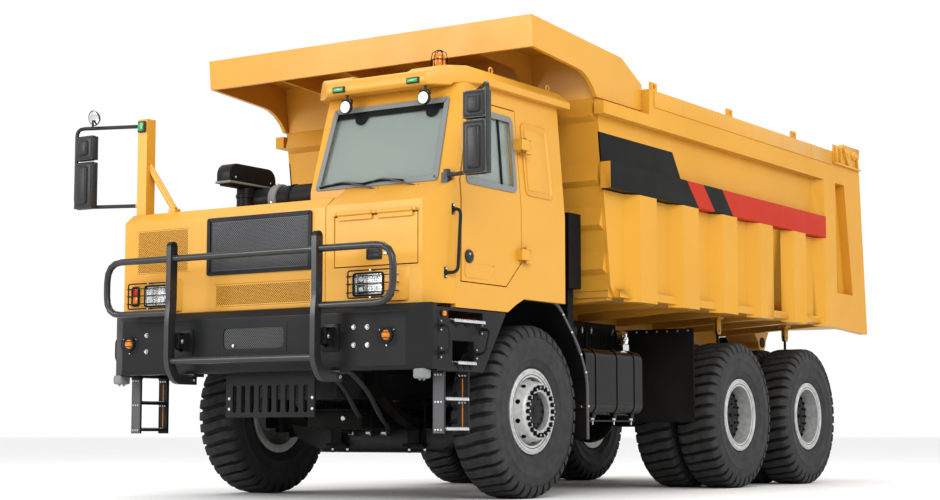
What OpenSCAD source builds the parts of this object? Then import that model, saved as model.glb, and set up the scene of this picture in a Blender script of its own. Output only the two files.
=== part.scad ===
// Mining dump truck: cab on the left, steered front axle, two twin-wheeled rear axles and a
// tipping bed with a canopy. Millimetres, +X ahead, +Y to the truck's left, +Z up.
// Places along the truck are counted from the front axle, positive ahead of it.

/* [Layout] */
// Front axle ahead of the truck's middle
front_axle_x = 2535; // [2400:5:2700]
// Front axle to middle axle
wheelbase = 3760; // [3600:10:4000]
// Middle axle to rear axle
tandem = 1780; // [1720:10:1900]
// Between the middles of the front tyres
front_track = 2800; // [2760:10:2860]
// Between the middles of the twin wheels
rear_track = 2743; // [2723:5:2783]
// Between the middles of the two tyres of a twin wheel
twin_gap = 485; // [470:5:510]

/* [Wheels] */
// Tyre diameter over the lugs
tyre_d = 1490; // [1440:5:1530]
// Tyre width at its widest
tyre_w = 430; // [400:5:440]
// Width of the flat tread
tread_w = 320; // [280:5:340]
// Depth of the tread lugs
lug_depth = 26; // [16:1:32]
// Tread lugs around a tyre
lug_count = 36; // [28:1:40]
// Gap between two tread lugs
lug_gap = 28; // [20:1:34]
// Rim diameter over the flanges
rim_d = 737; // [700:1:760]
// Rim width over the flanges
rim_w = 350; // [320:5:370]
// Thickness of the rim's barrel and disc
rim_t = 22; // [14:1:30]
// Hub diameter
hub_d = 330; // [280:5:360]
// Front wheel hub's reach past the rim flange
hub_nose = 34; // [10:1:60]
// Hand holes in a wheel disc
hand_holes = 8; // [6:1:12]

/* [Front axle] */
// Kingpin beside the truck's middle plane
kingpin_y = 1200; // [1180:5:1220]
// Kingpin diameter
kingpin_d = 60; // [40:2:80]
// Underside of the axle beam
beam_bottom = 385; // [360:5:400]
// Depth of the axle beam at its middle
beam_h = 175; // [150:5:190]
// Thickness of the axle beam along the truck
beam_t = 150; // [120:5:170]
// Front spindle diameter
front_spindle_d = 110; // [90:2:130]
// Steering arm length behind the kingpin
steer_arm = 165; // [150:1:170]
// Tie rod diameter
tie_rod_d = 40; // [30:2:40]

/* [Chassis] */
// Middle of a frame rail beside the truck's middle plane
rail_y = 430; // [410:5:450]
// Frame rail width
rail_w = 100; // [80:5:110]
// Top of the frame
frame_top = 1400; // [1380:5:1410]
// Depth of the frame rails
rail_h = 320; // [280:5:340]
// Front end of the frame
frame_front = 1640; // [1600:5:1660]
// Cross tube diameter
cross_tube_d = 160; // [120:5:180]
// Rear axle housing diameter
housing_d = 230; // [200:5:250]
// Rear spindle diameter
rear_spindle_d = 180; // [150:5:200]
// Differential diameter
diff_d = 580; // [500:10:600]
// Drive shaft diameter
shaft_d = 120; // [90:5:140]
// Rear spring width
rear_spring_w = 150; // [120:5:170]
// Rear spring middle beside the truck's middle plane
rear_spring_y = 700; // [680:5:720]

/* [Bumper and guard] */
// Front face of the bumper
bumper_face = 1810; // [1780:5:1830]
// Bumper length across the truck
bumper_w = 3400; // [3300:10:3500]
// Underside of the bumper
bumper_bottom = 1060; // [1040:5:1080]
// Top of the bumper's front face
bumper_top = 1525; // [1500:5:1545]
// Guard ahead of the front axle
guard_x = 2000; // [1995:1:2040]
// Guard tube diameter
guard_d = 58; // [44:2:64]
// Guard uprights beside the middle plane
guard_post_y = 780; // [740:5:820]
// Ends of the guard's side loops
guard_end_y = 1530; // [1480:5:1580]
// Height of the guard's top tube
guard_top_z = 2030; // [2020:5:2060]
// Slots in the plate under the bumper
skid_slots = 9; // [5:1:13]

/* [Cab and hood] */
// Front face of the hood and of the cab's nose
nose_face = 1660; // [1650:5:1690]
// Right side of the hood
hood_right = -1660; // [-1700:5:-1600]
// Top of the hood
hood_top = 2500; // [2480:5:2520]
// Front edge of the hood's top
hood_lip = 2420; // [2400:5:2440]
// Panel thickness of the hood and nose
panel_t = 40; // [30:1:45]
// Underside of the cab and hood
cab_bottom = 1720; // [1715:1:1740]
// Right wall of the cab
cab_right = 220; // [200:5:240]
// Left wall of the cab
cab_left = 1700; // [1680:5:1710]
// Left edge of the cab's roof line
cab_shoulder = 1620; // [1600:5:1640]
// Rear wall of the cab
cab_rear = -360; // [-380:5:-350]
// Cab wall thickness
cab_t = 50; // [40:1:55]
// Foot of the windscreen ahead of the front axle
screen_x = 1380; // [1370:5:1385]
// Foot of the windscreen
screen_bottom = 2600; // [2590:5:2610]
// Head of the windscreen behind its foot
screen_rake = 230; // [200:5:250]
// Head of the windscreen
screen_top = 3330; // [3310:5:3340]
// Cab height where the roof sits
eaves = 3440; // [3430:5:3450]
// Roof thickness
roof_t = 150; // [120:5:160]
// Glass thickness
glass_t = 12; // [8:1:16]
// Rear edge of the door
door_rear = 378; // [360:1:400]
// Front edge of the door at the belt
door_front = 1290; // [1270:1:1300]
// Gap around the door and the front hatch
door_gap = 8; // [6:1:10]

/* [Bed] */
// Bed hinge behind the front axle
pivot_x = -6350; // [-6400:5:-6330]
// Height of the bed hinge
pivot_z = 1620; // [1610:1:1625]
// Bed hinge shaft diameter
pivot_d = 120; // [100:5:130]
// Half width of the bed over its ribs
bed_half = 1900; // [1880:5:1920]
// Depth of the bed's ribs and rails
rib_t = 100; // [80:5:110]
// Bed wall thickness
wall_t = 30; // [20:1:40]
// Underside of the bed floor
floor_bottom = 1790; // [1785:1:1800]
// Bed floor thickness
floor_t = 60; // [40:1:70]
// Front end of the bed floor
bed_front_x = -1020; // [-1050:5:-1010]
// Rear end of the bed floor
bed_rear_x = -7085; // [-7100:5:-7070]
// Slope of the bed's front and rear ends back towards the floor
bed_lean = 230; // [200:5:240]
// Underside of the bed's top rail
rail_bottom = 3430; // [3420:5:3450]
// Top of the bed's top rail
rail_top = 3790; // [3780:5:3800]
// Ribs on a bed side
rib_count = 6; // [4:1:6]
// Distance between ribs
rib_pitch = 893; // [870:1:900]
// Width of a rib's face
rib_w = 335; // [280:5:360]
// Front edge of the first rib
rib_start = -1400; // [-1420:5:-1380]
// Front edge of the canopy
canopy_front = 396; // [380:2:420]
// Top of the canopy above the top rail
canopy_rise = 338; // [320:2:360]
// Depth of the canopy's front face
canopy_face = 275; // [240:5:290]

/* [Hoist] */
// Hoist cylinders beside the middle plane
hoist_y = 220; // [210:5:240]
// Hoist foot behind the front axle
hoist_foot_x = -4600; // [-4620:5:-4580]
// Height of the hoist foot
hoist_foot_z = 950; // [940:5:960]
// Hoist eye behind the front axle
hoist_eye_x = -3200; // [-3220:5:-3180]
// Height of the hoist eye
hoist_eye_z = 1660; // [1650:5:1670]
// Hoist barrel diameter
barrel_d = 190; // [170:5:200]
// Middle stage diameter
stage_d = 150; // [130:5:160]
// Rod diameter
hoist_rod_d = 110; // [90:5:120]
// Pin diameter at the foot and the eye
hoist_pin_d = 60; // [50:2:70]

/* [Tanks and guards] */
// Front end of the fuel and oil tanks
tank_front = -890; // [-900:5:-880]
// Fuel tank length
tank_l = 1090; // [1000:10:1120]
// Inner side of the tanks
tank_in = 850; // [820:5:870]
// Outer side of the tanks
tank_out = 1600; // [1560:5:1640]
// Underside of the tanks
tank_bottom = 730; // [700:5:760]
// Top of the tanks
tank_top = 1330; // [1300:5:1345]
// Flap behind the front wheel
flap_x = -850; // [-855:1:-845]
// Mudguard plate ahead of the rear wheels
mudguard_x = -2880; // [-2900:5:-2870]

/* [Mirrors and ladders] */
// Outer edge of the mirrors beside the middle plane
mirror_reach = 2210; // [2150:5:2250]
// Mirror tube diameter
mirror_tube_d = 34; // [24:2:40]
// Mirror post width
mirror_post_w = 110; // [90:5:120]
// Lower end of the ladders
ladder_bottom = 556; // [540:2:600]
// Ladder side rail thickness
ladder_rail = 16; // [12:2:24]
// Depth of a ladder's side rail, from the side of the cab inwards
ladder_rail_w = 105; // [90:5:120]
// Ladder width over its side rails
ladder_w = 364; // [340:4:380]
// Thickness of the step plates
step_t = 18; // [12:1:24]

/* [Hidden] */
$fn = 48;

paint = [0.93, 0.64, 0.12];
coal = [0.13, 0.13, 0.14];
steel = [0.62, 0.63, 0.64];
rubber = [0.16, 0.16, 0.17];
pane = [0.55, 0.66, 0.63, 0.5];

// Running gap of pins and shafts, and the gap between pieces that move past each other
fit = 0.3;
clear = 6;
// Extra depth of a cut past the face that it opens
past = 5;

mid_x = -wheelbase;
rear_x = -wheelbase - tandem;
hub_z = tyre_d / 2;
front_y = front_track / 2;
twin_y = rear_track / 2;
canopy_top = rail_top + canopy_rise;
rail_in = rail_y - rail_w / 2;
rail_out = rail_y + rail_w / 2;
frame_bottom = frame_top - rail_h;
frame_rear = pivot_x - 130;

// Points and paths
function unit(v) = v / norm(v);
function heading(p, i) = unit(p[min(i + 1, len(p) - 1)] - p[max(i - 1, 0)]);
function bend_points(a, p, b, reach) =
    let (start = p + reach * unit(a - p), end = p + reach * unit(b - p))
    [for (t = [0:0.25:1]) (1 - t) * (1 - t) * start + 2 * t * (1 - t) * p + t * t * end];
function rounded(p, reach) =
    concat([p[0]], [for (i = [1:len(p) - 2]) each bend_points(p[i - 1], p[i], p[i + 1], reach)],
           [p[len(p) - 1]]);
function ring(p, i, r, up, sides) =
    let (t = heading(p, i), a = unit(cross(t, up)), b = cross(a, t))
    [for (k = [0:sides - 1]) p[i] + r * (cos(360 * k / sides) * a + sin(360 * k / sides) * b)];
// Outline of a strip of the given half width along a flat path
function strip(p, half) =
    let (n = len(p) - 1, side = [for (i = [0:n]) let (t = heading(p, i)) [-t[1], t[0]] * half])
    concat([for (i = [0:n]) p[i] + side[i]], [for (i = [n:-1:0]) p[i] - side[i]]);

module from_front_axle() translate([front_axle_x, 0, 0]) children();
module both_sides() {
    children();
    mirror([0, 1, 0]) children();
}
// A block between low and high places on each axis
module block(x, y, z) translate([x[0], y[0], z[0]]) cube([x[1] - x[0], y[1] - y[0], z[1] - z[0]]);
// Round bars along one axis
module bar_x(x, y, z, d) translate([x[0], y, z]) rotate([0, 90, 0]) cylinder(d = d, h = x[1] - x[0]);
module bar_y(x, y, z, d) translate([x, y[0], z]) rotate([-90, 0, 0]) cylinder(d = d, h = y[1] - y[0]);
module bar_z(x, y, z, d) translate([x, y, z[0]]) cylinder(d = d, h = z[1] - z[0]);
// Flat outlines given a thickness: side view along Y, front view along X, plan along Z
module slab_y(outline, y)
    translate([0, y[1], 0]) rotate([90, 0, 0]) linear_extrude(y[1] - y[0]) polygon(outline);
module slab_x(outline, x)
    translate([x[0], 0, 0]) rotate([90, 0, 90]) linear_extrude(x[1] - x[0]) polygon(outline);
module slab_z(outline, z) translate([0, 0, z[0]]) linear_extrude(z[1] - z[0]) polygon(outline);
// A round bar between two points
module bar_to(a, b, d) {
    way = b - a;
    translate(a) rotate([0, acos(way[2] / norm(way)), atan2(way[1], way[0])])
        cylinder(d = d, h = norm(way));
}
// A bent tube along a path
module tube(p, d, up) {
    sides = 12;
    last = len(p) - 1;
    points = [for (i = [0:last]) each ring(p, i, d / 2, up, sides)];
    walls = [for (i = [0:last - 1], k = [0:sides - 1])
             [i * sides + k, i * sides + (k + 1) % sides,
              (i + 1) * sides + (k + 1) % sides, (i + 1) * sides + k]];
    polyhedron(points, concat([[for (k = [sides - 1:-1:0]) k]], walls,
                              [[for (k = [0:sides - 1]) last * sides + k]]));
}

// Frame rails, cross tubes, bed hinge shaft, hoist ears and the tow clevis at the rear
ear_t = 20;
hoist_eye_w = 118;
hoist_cross_x = hoist_foot_x - 230;
hoist_cross_z = frame_bottom + 100;
tow_bore_d = 52;
module hoist_ears() {
    for (side = [-1, 1]) {
        inner = hoist_y + side * (hoist_eye_w + ear_t + 1) / 2;
        slab_y(strip([[hoist_cross_x, hoist_cross_z], [hoist_foot_x, hoist_foot_z]], 60),
               [inner - ear_t / 2, inner + ear_t / 2]);
        bar_y(hoist_foot_x, [inner - ear_t / 2, inner + ear_t / 2], hoist_foot_z, 120);
    }
    bar_y(hoist_foot_x, [hoist_y - hoist_eye_w / 2 - ear_t, hoist_y + hoist_eye_w / 2 + ear_t],
          hoist_foot_z, hoist_pin_d);
}
module frame() color(coal) from_front_axle() {
    cross_places = [1500, -1750, -2600, -5300, -6080];
    both_sides() {
        block([frame_rear, frame_front], [rail_in, rail_out], [frame_bottom, frame_top]);
        slab_y([[pivot_x - 130, frame_top], [pivot_x + 260, frame_top], [pivot_x + 80, pivot_z + 75],
                [pivot_x - 80, pivot_z + 75]], [rail_in, rail_out]);
        hoist_ears();
    }
    for (x = cross_places)
        bar_y(x, [-rail_in, rail_in], frame_top - rail_h / 2, cross_tube_d);
    bar_y(hoist_cross_x, [-rail_in, rail_in], hoist_cross_z, cross_tube_d);
    bar_y(pivot_x, [-900, 900], pivot_z, pivot_d);
    for (x = [cab_rear + 60, 1000])
        block([x, x + 100], [rail_in, rail_out], [frame_top, cab_bottom]);
    difference() {
        union() {
            block([frame_rear, frame_rear + 80], [-rail_in, rail_in], [frame_bottom, frame_top]);
            for (z = [frame_bottom + 100, frame_bottom + 200])
                block([frame_rear - 180, frame_rear], [-70, 70], [z, z + 40]);
        }
        bar_z(frame_rear - 110, 0, [frame_bottom, frame_top], tow_bore_d);
    }
}

// Dropped axle beam with a fist for each kingpin
fist_h = 170;
module front_axle() color(coal) from_front_axle() {
    beam_top = beam_bottom + beam_h;
    half = [[0, beam_bottom], [620, beam_bottom], [1000, hub_z - 145],
            [kingpin_y - 70, hub_z - fist_h / 2 + 5],
            [kingpin_y - 70, hub_z + fist_h / 2 - 5], [1000, hub_z + 35], [640, beam_top], [0, beam_top]];
    both_sides() difference() {
        union() {
            slab_x(half, [-beam_t / 2, beam_t / 2]);
            bar_z(0, kingpin_y, [hub_z - fist_h / 2, hub_z + fist_h / 2], 150);
        }
        bar_z(0, kingpin_y, [hub_z - fist_h, hub_z + fist_h], kingpin_d + 2 * fit);
    }
}

// Steered knuckle: yoke, kingpin, spindle, steering arm and the ball pin below it
ear_h = 50;
arm_h = 40;
ball_pin_d = 32;
steer_eye_d = 64;
tie_eye_h = 42;
spindle_end = front_y + 60;
module knuckle() {
    yoke_z = hub_z - fist_h / 2 - 3;
    low = yoke_z - ear_h;
    bar_z(0, kingpin_y, [low, yoke_z], 150);
    bar_z(0, kingpin_y, [2 * hub_z - yoke_z, 2 * hub_z - low], 150);
    bar_z(0, kingpin_y, [low, 2 * hub_z - low], kingpin_d);
    block([-70, 70], [kingpin_y + 82, kingpin_y + 130], [low, 2 * hub_z - low]);
    for (z = [low, 2 * hub_z - yoke_z])
        block([-70, 70], [kingpin_y, kingpin_y + 90], [z, z + ear_h]);
    bar_y(0, [kingpin_y + 120, spindle_end], hub_z, front_spindle_d);
    block([-steer_arm, 0], [kingpin_y - steer_eye_d / 2, kingpin_y + steer_eye_d / 2],
          [low - arm_h, low]);
    bar_z(0, kingpin_y, [low - arm_h, low], 110);
    bar_z(-steer_arm, kingpin_y, [low - arm_h, low], steer_eye_d);
    bar_z(-steer_arm, kingpin_y, [low - arm_h - tie_eye_h - 8, low - arm_h / 2], ball_pin_d);
}
module knuckle_left() color(coal) from_front_axle() knuckle();
module knuckle_right() color(coal) from_front_axle() mirror([0, 1, 0]) knuckle();

// Tie rod between the two steering arms
module tie_rod() color(coal) from_front_axle() {
    top = hub_z - fist_h / 2 - 3 - ear_h - arm_h - 1;
    difference() {
        union() {
            bar_y(-steer_arm, [-kingpin_y, kingpin_y], top - tie_eye_h / 2, tie_rod_d);
            both_sides() bar_z(-steer_arm, kingpin_y, [top - tie_eye_h, top], steer_eye_d);
        }
        both_sides()
            bar_z(-steer_arm, kingpin_y, [top - tie_eye_h - past, top + past], ball_pin_d + 2 * fit);
    }
}

// Leaf springs under the frame rails, with their hangers
spring_half = 750;
spring_rise = 300;
spring_seat = beam_bottom + beam_h;
function leaf_top(x) = spring_seat + 110 + spring_rise * pow(x / spring_half, 2);
function leaf_under(x) = leaf_top(x) - 30 - 80 * (1 - abs(x) / spring_half);
module front_springs() color(coal) from_front_axle() {
    outline = concat([for (x = [-spring_half:150:spring_half]) [x, leaf_top(x)]],
                     [for (x = [spring_half:-150:-spring_half]) [x, leaf_under(x)]]);
    both_sides() {
        slab_y(outline, [rail_y - 60, rail_y + 60]);
        for (x = [-spring_half, spring_half])
            block([x - 50, x + 50], [rail_y - 45, rail_y + 45],
                  [spring_seat + spring_rise, frame_bottom]);
    }
}

// Rear axle housings with their differentials, spindles and spring pads
pad_top = hub_z + housing_d / 2 + 5;
nose_reach = 350;
module rear_axle(x) {
    bar_y(x, [-900, 900], hub_z, housing_d);
    bar_y(x, [-twin_y - 120, twin_y + 120], hub_z, rear_spindle_d);
    translate([x, 0, hub_z]) sphere(d = diff_d);
    bar_x([x - nose_reach, x + nose_reach], 0, hub_z, 190);
    both_sides() block([x - 90, x + 90], [rear_spring_y - rear_spring_w / 2,
                                          rear_spring_y + rear_spring_w / 2],
                       [hub_z, pad_top]);
}
module rear_axles() color(coal) from_front_axle() for (x = [mid_x, rear_x]) rear_axle(x);

// Balanced rear springs on their trunnions
module rear_suspension() color(coal) from_front_axle() {
    middle = mid_x - tandem / 2;
    half = tandem / 2 + 80;
    pack = 130;
    arch = 70;
    low = [rear_spring_y - rear_spring_w / 2, rear_spring_y + rear_spring_w / 2];
    both_sides() {
        slab_y([[middle - half, pad_top], [middle - tandem / 2 + 90, pad_top],
                [middle - 160, pad_top + arch],
                [middle + 160, pad_top + arch], [middle + tandem / 2 - 90, pad_top],
    [middle + half, pad_top],
                [middle + half, pad_top + 40], [middle + 500, pad_top + arch + 55],
                [middle + 150, pad_top + arch + pack], [middle - 150, pad_top + arch + pack],
                [middle - 500, pad_top + arch + 55], [middle - half, pad_top + 40]], low);
        block([middle - 130, middle + 130], low, [pad_top - 60, pad_top + arch]);
        bar_y(middle, [rail_out, low[1] + 30], pad_top - 60, 150);
        block([middle - 170, middle + 170], [rail_out, rail_out + 60], [pad_top - 150, frame_top - 60]);
    }
}

// Drive shafts from the gearbox to the middle axle and on to the rear axle
gearbox_end = -1560;
gearbox_z = 1000;
joint_d = 150;
module drive_shaft(a, b) {
    bar_to(a, b, shaft_d);
    for (p = [a, b])
        translate(p) sphere(d = joint_d);
}
module drive_shafts() color(steel) from_front_axle() {
    seat = joint_d / 2 + fit;
    drive_shaft([gearbox_end - seat, 0, gearbox_z], [mid_x + nose_reach + seat, 0, hub_z]);
    drive_shaft([mid_x - nose_reach - seat, 0, hub_z], [rear_x + nose_reach + seat, 0, hub_z]);
}

// Engine as one plain block, with its mounts and the gearbox behind it
engine_rear = -450;
module engine() color(coal) from_front_axle() {
    block([engine_rear, 1150], [-330, 330], [850, 1680]);
    bar_x([gearbox_end, engine_rear], 0, gearbox_z, 520);
    both_sides() for (x = [engine_rear + 150, 900])
        block([x, x + 150], [330, rail_in], [frame_top - 200, frame_top - 80]);
}

// Radiator on the frame behind the grille
module radiator() color(coal) from_front_axle()
    block([screen_x + 60, screen_x + 190], [-700, 450], [frame_top, hood_lip - 110]);

// Bumper beam with raked ends and a recess for the mesh
recess = 14;
module bumper() color(coal) from_front_axle() {
    half = bumper_w / 2;
    side = [[frame_front, bumper_bottom], [bumper_face - 20, bumper_bottom],
            [bumper_face, bumper_bottom + 30],
            [bumper_face, bumper_top], [bumper_face - 70, bumper_top + 60],
    [frame_front, bumper_top + 60]];
    plan = [[frame_front - past, -half], [bumper_face - 110, -half], [bumper_face + past, -half + 190],
            [bumper_face + past, half - 190], [bumper_face - 110, half], [frame_front - past, half]];
    difference() {
        intersection() {
            slab_y(side, [-half, half]);
            slab_z(plan, [bumper_bottom - past, bumper_top + 100]);
        }
        block([bumper_face - recess, bumper_face + past], [-375, 308], [1245, 1447]);
    }
}

// Guard of bent tube on two flat uprights, bolted under the bumper
module guard() color(coal) from_front_axle() {
    post_half = 42;
    post_t = 52;
    loop_z = 1573;
    spine = rounded([[guard_x, guard_top_z + 105], [guard_x, 1640], [guard_x + 15, 1500],
                     [guard_x + 15, 1140],
                     [guard_x - 60, bumper_bottom - 48], [bumper_face - 120, bumper_bottom - 48]], 55);
    loop = [[guard_x, guard_post_y + post_t / 2, loop_z], [guard_x, guard_end_y, loop_z],
            [guard_x, guard_end_y, guard_top_z], [guard_x, guard_post_y + post_t / 2, guard_top_z]];
    both_sides() {
        slab_y(strip(spine, post_half), [guard_post_y - post_t / 2, guard_post_y + post_t / 2]);
        tube(rounded(loop, 170), guard_d, [1, 0, 0]);
        block([bumper_face - 150, bumper_face - 20], [guard_post_y - 80, guard_post_y + 80],
              [bumper_bottom - 24, bumper_bottom]);
        block([bumper_face, guard_x], [guard_post_y - 12, guard_post_y + 12], [1300, 1360]);
    }
    for (z = [1162, guard_top_z])
        bar_y(guard_x + (z < loop_z ? 10 : 0), [-guard_post_y, guard_post_y], z, guard_d);
}

// Slotted plate hanging under the bumper
module skid_plate() color(coal) from_front_axle() {
    plate = [-450, 500];
    pitch = (plate[1] - plate[0]) / (skid_slots + 1);
    difference() {
        block([frame_front, frame_front + 22], plate, [690, bumper_bottom]);
        for (k = [1:skid_slots])
            block([frame_front - past, frame_front + 40],
                  [plate[0] + k * pitch - 22, plate[0] + k * pitch + 22], [730, 960]);
    }
}

// Fuel tank on the left and oil tank on the right, on brackets from the frame
module tank(length) {
    x = [tank_front - length, tank_front];
    r = 90;
    corners = [[tank_in + r, tank_bottom + r], [tank_out - r, tank_bottom + r],
               [tank_out - r, tank_top - r], [tank_in + r, tank_top - r]];
    block(x, [tank_in + r, tank_out - r], [tank_bottom, tank_top]);
    block(x, [tank_in, tank_out], [tank_bottom + r, tank_top - r]);
    for (c = corners)
        bar_x(x, c[0], c[1], 2 * r);
    for (k = [1, 3])
        block([x[0] + length * k / 4 - 40, x[0] + length * k / 4 + 40], [rail_out, tank_in + r],
              [tank_top - 240, tank_top - 100]);
}
module fuel_tank() color(coal) from_front_axle() {
    tank(tank_l);
    bar_z(tank_front - tank_l + 120, tank_out - 130, [tank_top - 10, tank_top + 60], 90);
}
module oil_tank() color(coal) from_front_axle() mirror([0, 1, 0]) {
    tank(tank_l * 0.8);
    bar_z(tank_front - 200, tank_out - 300, [tank_top - 10, tank_top + 50], 120);
}

// Plates across the truck ahead of the rear wheels, on arms from the frame
module mudguards() color(coal) from_front_axle() both_sides() {
    block([mudguard_x - 12, mudguard_x], [780, 1700], [670, 1600]);
    block([mudguard_x - 50, mudguard_x + 30], [rail_out, 790], [frame_bottom + 60, frame_bottom + 160]);
}

// Front wheel arches: top plate, rear arm and the flap behind the wheel
fender_out = cab_left - cab_t - 10;
module fenders() color(paint) from_front_axle() both_sides() {
    y = [rail_out + 290, fender_out];
    block([-330, 960], y, [cab_bottom - 30, cab_bottom]);
    slab_y(strip([[-320, cab_bottom - 15], [flap_x + 160, 1340], [flap_x, 1050]], 15), y);
    block([flap_x - 12, flap_x], y, [500, 1060]);
}

// Hood right of the cab, open below and behind, with its front panel and grille openings
grille_upper = [[-650, 430], [1933, 2368]];
grille_lower = [[-592, 455], [1634, 1821]];
grille_right = [[-1500, -905], [1957, 2333]];
hood_split = 600;
front_bottom = bumper_top + 65;
// Side skirt that hangs below the cab and rises over the front wheel
skirt_front = screen_x;
skirt_arch = 460;
skirt_bottom = front_bottom - 28;
skirt_t = 15;
hood_skirt_front = frame_front - door_gap;
skirt_outline = [[skirt_front, cab_bottom + 10], [skirt_front, skirt_bottom], [590, skirt_bottom + 3],
                 [skirt_arch, cab_bottom - 85], [330, cab_bottom - 30], [cab_rear, cab_bottom - 30],
                 [cab_rear, cab_bottom + 10]];
module hood_solid(inset, bottom) {
    side = [[cab_rear + 20, bottom], [nose_face - inset, bottom], [nose_face - inset, hood_lip - inset],
            [nose_face - 100 - inset, hood_top - inset], [cab_rear + 20, hood_top - inset]];
    slab_y(side, [hood_right + inset, cab_right]);
    intersection() {
        slab_y(side, [cab_right - 30, hood_split - inset]);
        block([screen_x + 5 + inset, nose_face], [0, hood_split], [0, hood_top]);
    }
}
module hood() color(paint) from_front_axle() difference() {
    union() {
        difference() {
            hood_solid(0, cab_bottom);
            hood_solid(panel_t, cab_bottom - past);
        }
        block([nose_face - panel_t, nose_face], [hood_right, hood_split],
              [front_bottom, cab_bottom + 10]);
        slab_y([for (p = skirt_outline)
                    [p[0] == skirt_front ? hood_skirt_front : max(p[0], skirt_arch), p[1]]],
               [hood_right, hood_right + skirt_t]);
    }
    for (g = [grille_upper, grille_lower, grille_right])
        block([nose_face - panel_t - past, nose_face + past], g[0], g[1]);
}

// Mesh panels that fill the grille openings
module grilles() color(coal) from_front_axle()
    for (g = [grille_upper, grille_lower, grille_right])
        block([nose_face - panel_t, nose_face - 12], g[0], g[1]);

// Cab side view and front view, drawn in by the wall where inset is over zero
function screen_at(z) = screen_x - screen_rake * (z - screen_bottom) / (screen_top - screen_bottom);
module cab_solid(inset) {
    side = [[cab_rear + inset, cab_bottom + inset], [screen_x - inset, cab_bottom + inset],
            [screen_x - inset, screen_bottom], [screen_at(eaves) - inset, eaves - inset],
            [cab_rear + inset, eaves - inset]];
    belt = screen_bottom - 150;
    front = [[cab_right + inset, cab_bottom], [cab_left - inset, cab_bottom], [cab_left - inset, belt],
             [cab_shoulder - inset, eaves], [cab_right + inset, eaves]];
    intersection() {
        slab_y(side, [cab_right, cab_left]);
        slab_x(front, [cab_rear - past, screen_x + past]);
    }
}
screen_outline = [[cab_right + 80, screen_bottom + 20], [1500, screen_bottom + 20],
                  [1470, screen_top - 30], [cab_right + 110, screen_top - 30]];
rear_window = [[cab_right + 180, 1480], [2600, 3180]];
right_window = [[100, 950], [2660, 3220]];
door_top = 3300;
door_bottom = cab_bottom + cab_t + door_gap + 2;
// The front edge has a wider gap, because it swings forward as it leaves the wall
function door_outline(gap) = [[door_rear - gap, door_top + gap], [door_rear - gap, 2000 - gap],
    [620 - gap, door_bottom - gap], [door_front + 2.5 * gap, door_bottom - gap],
    [door_front + 2.5 * gap, screen_bottom], [door_front - screen_rake + 2.5 * gap, door_top + gap]];
door_window = [[470, 2620], [door_front - 110, 2620], [door_front - 270, 3200], [470, 3200]];
hinge_x = door_rear - 34;
hinge_y = cab_left + 36;
hinge_d = 24;
hinge_places = [2060, 3000];
hinge_h = 90;
module cab_shell() color(paint) from_front_axle() {
    slab_y(skirt_outline, [cab_left - cab_t, cab_left]);
    difference() {
        cab_solid(0);
        cab_solid(cab_t);
        slab_x(screen_outline, [1000, screen_x + past]);
        block([cab_rear - past, cab_rear + cab_t + past], rear_window[0], rear_window[1]);
        block(right_window[0], [cab_right - past, cab_right + cab_t + past], right_window[1]);
        slab_y(door_outline(door_gap), [1500, cab_left + past]);
    }
    // Fixed half of the door hinges: a pin on two lugs
    for (z = hinge_places) {
        bar_z(hinge_x, hinge_y, [z - hinge_h / 2 - 24, z + hinge_h / 2 + 24], hinge_d);
        for (end = [z - hinge_h / 2 - 24, z + hinge_h / 2 + 4])
            block([hinge_x - 80, hinge_x], [cab_shoulder - 20, hinge_y + hinge_d / 2], [end, end + 20]);
    }
}

// Nose ahead of the cab, with an opening for the hatch
hatch_y = [690, 1530];
hatch_z = [1900, 2325];
nose_left = 1570;
module nose_solid(inset) {
    intersection() {
        slab_y([[screen_x + inset, front_bottom + inset], [nose_face - inset, front_bottom + inset],
                [nose_face - inset, hood_lip - inset], [screen_x + inset, screen_bottom - inset]],
               [hood_split + 5 + inset, cab_left - inset]);
        slab_z([[screen_x, hood_split], [nose_face, hood_split], [nose_face, nose_left - inset],
                [screen_x, cab_left - inset]], [0, 3000]);
    }
}
hatch_pin_x = nose_face + 18;
hatch_pin_z = hatch_z[1] + 12;
hatch_pin_d = 16;
module cab_nose() color(paint) from_front_axle() {
    difference() {
        nose_solid(0);
        nose_solid(panel_t);
        block([nose_face - panel_t - past, nose_face + past], hatch_y, hatch_z);
    }
    bar_y(hatch_pin_x, [hatch_y[0] + 20, hatch_y[1] - 20], hatch_pin_z, hatch_pin_d);
    for (y = [hatch_y[0] + 10, (hatch_y[0] + hatch_y[1]) / 2 - 10, hatch_y[1] - 30])
        block([nose_face - 10, hatch_pin_x + 10], [y, y + 20], [hatch_pin_z - 10, hatch_pin_z + 14]);
}

// Hatch in the nose, hung from its top edge
module front_hatch() color(paint) from_front_axle() {
    y = [hatch_y[0] + door_gap, hatch_y[1] - door_gap];
    middle = (y[0] + y[1]) / 2;
    block([nose_face - 30, nose_face], y, [hatch_z[0] + door_gap, hatch_z[1] - door_gap]);
    for (span = [[y[0] + 40, middle - 30], [middle + 30, y[1] - 40]]) {
        block([nose_face - 10, hatch_pin_x], span, [hatch_pin_z - 50, hatch_z[1] - door_gap]);
        difference() {
            union() {
                bar_y(hatch_pin_x, span, hatch_pin_z, 30);
                block([nose_face + 4, hatch_pin_x], span, [hatch_pin_z - 30, hatch_pin_z]);
            }
            bar_y(hatch_pin_x, [span[0] - past, span[1] + past], hatch_pin_z, hatch_pin_d + 2 * fit);
        }
    }
}

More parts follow.
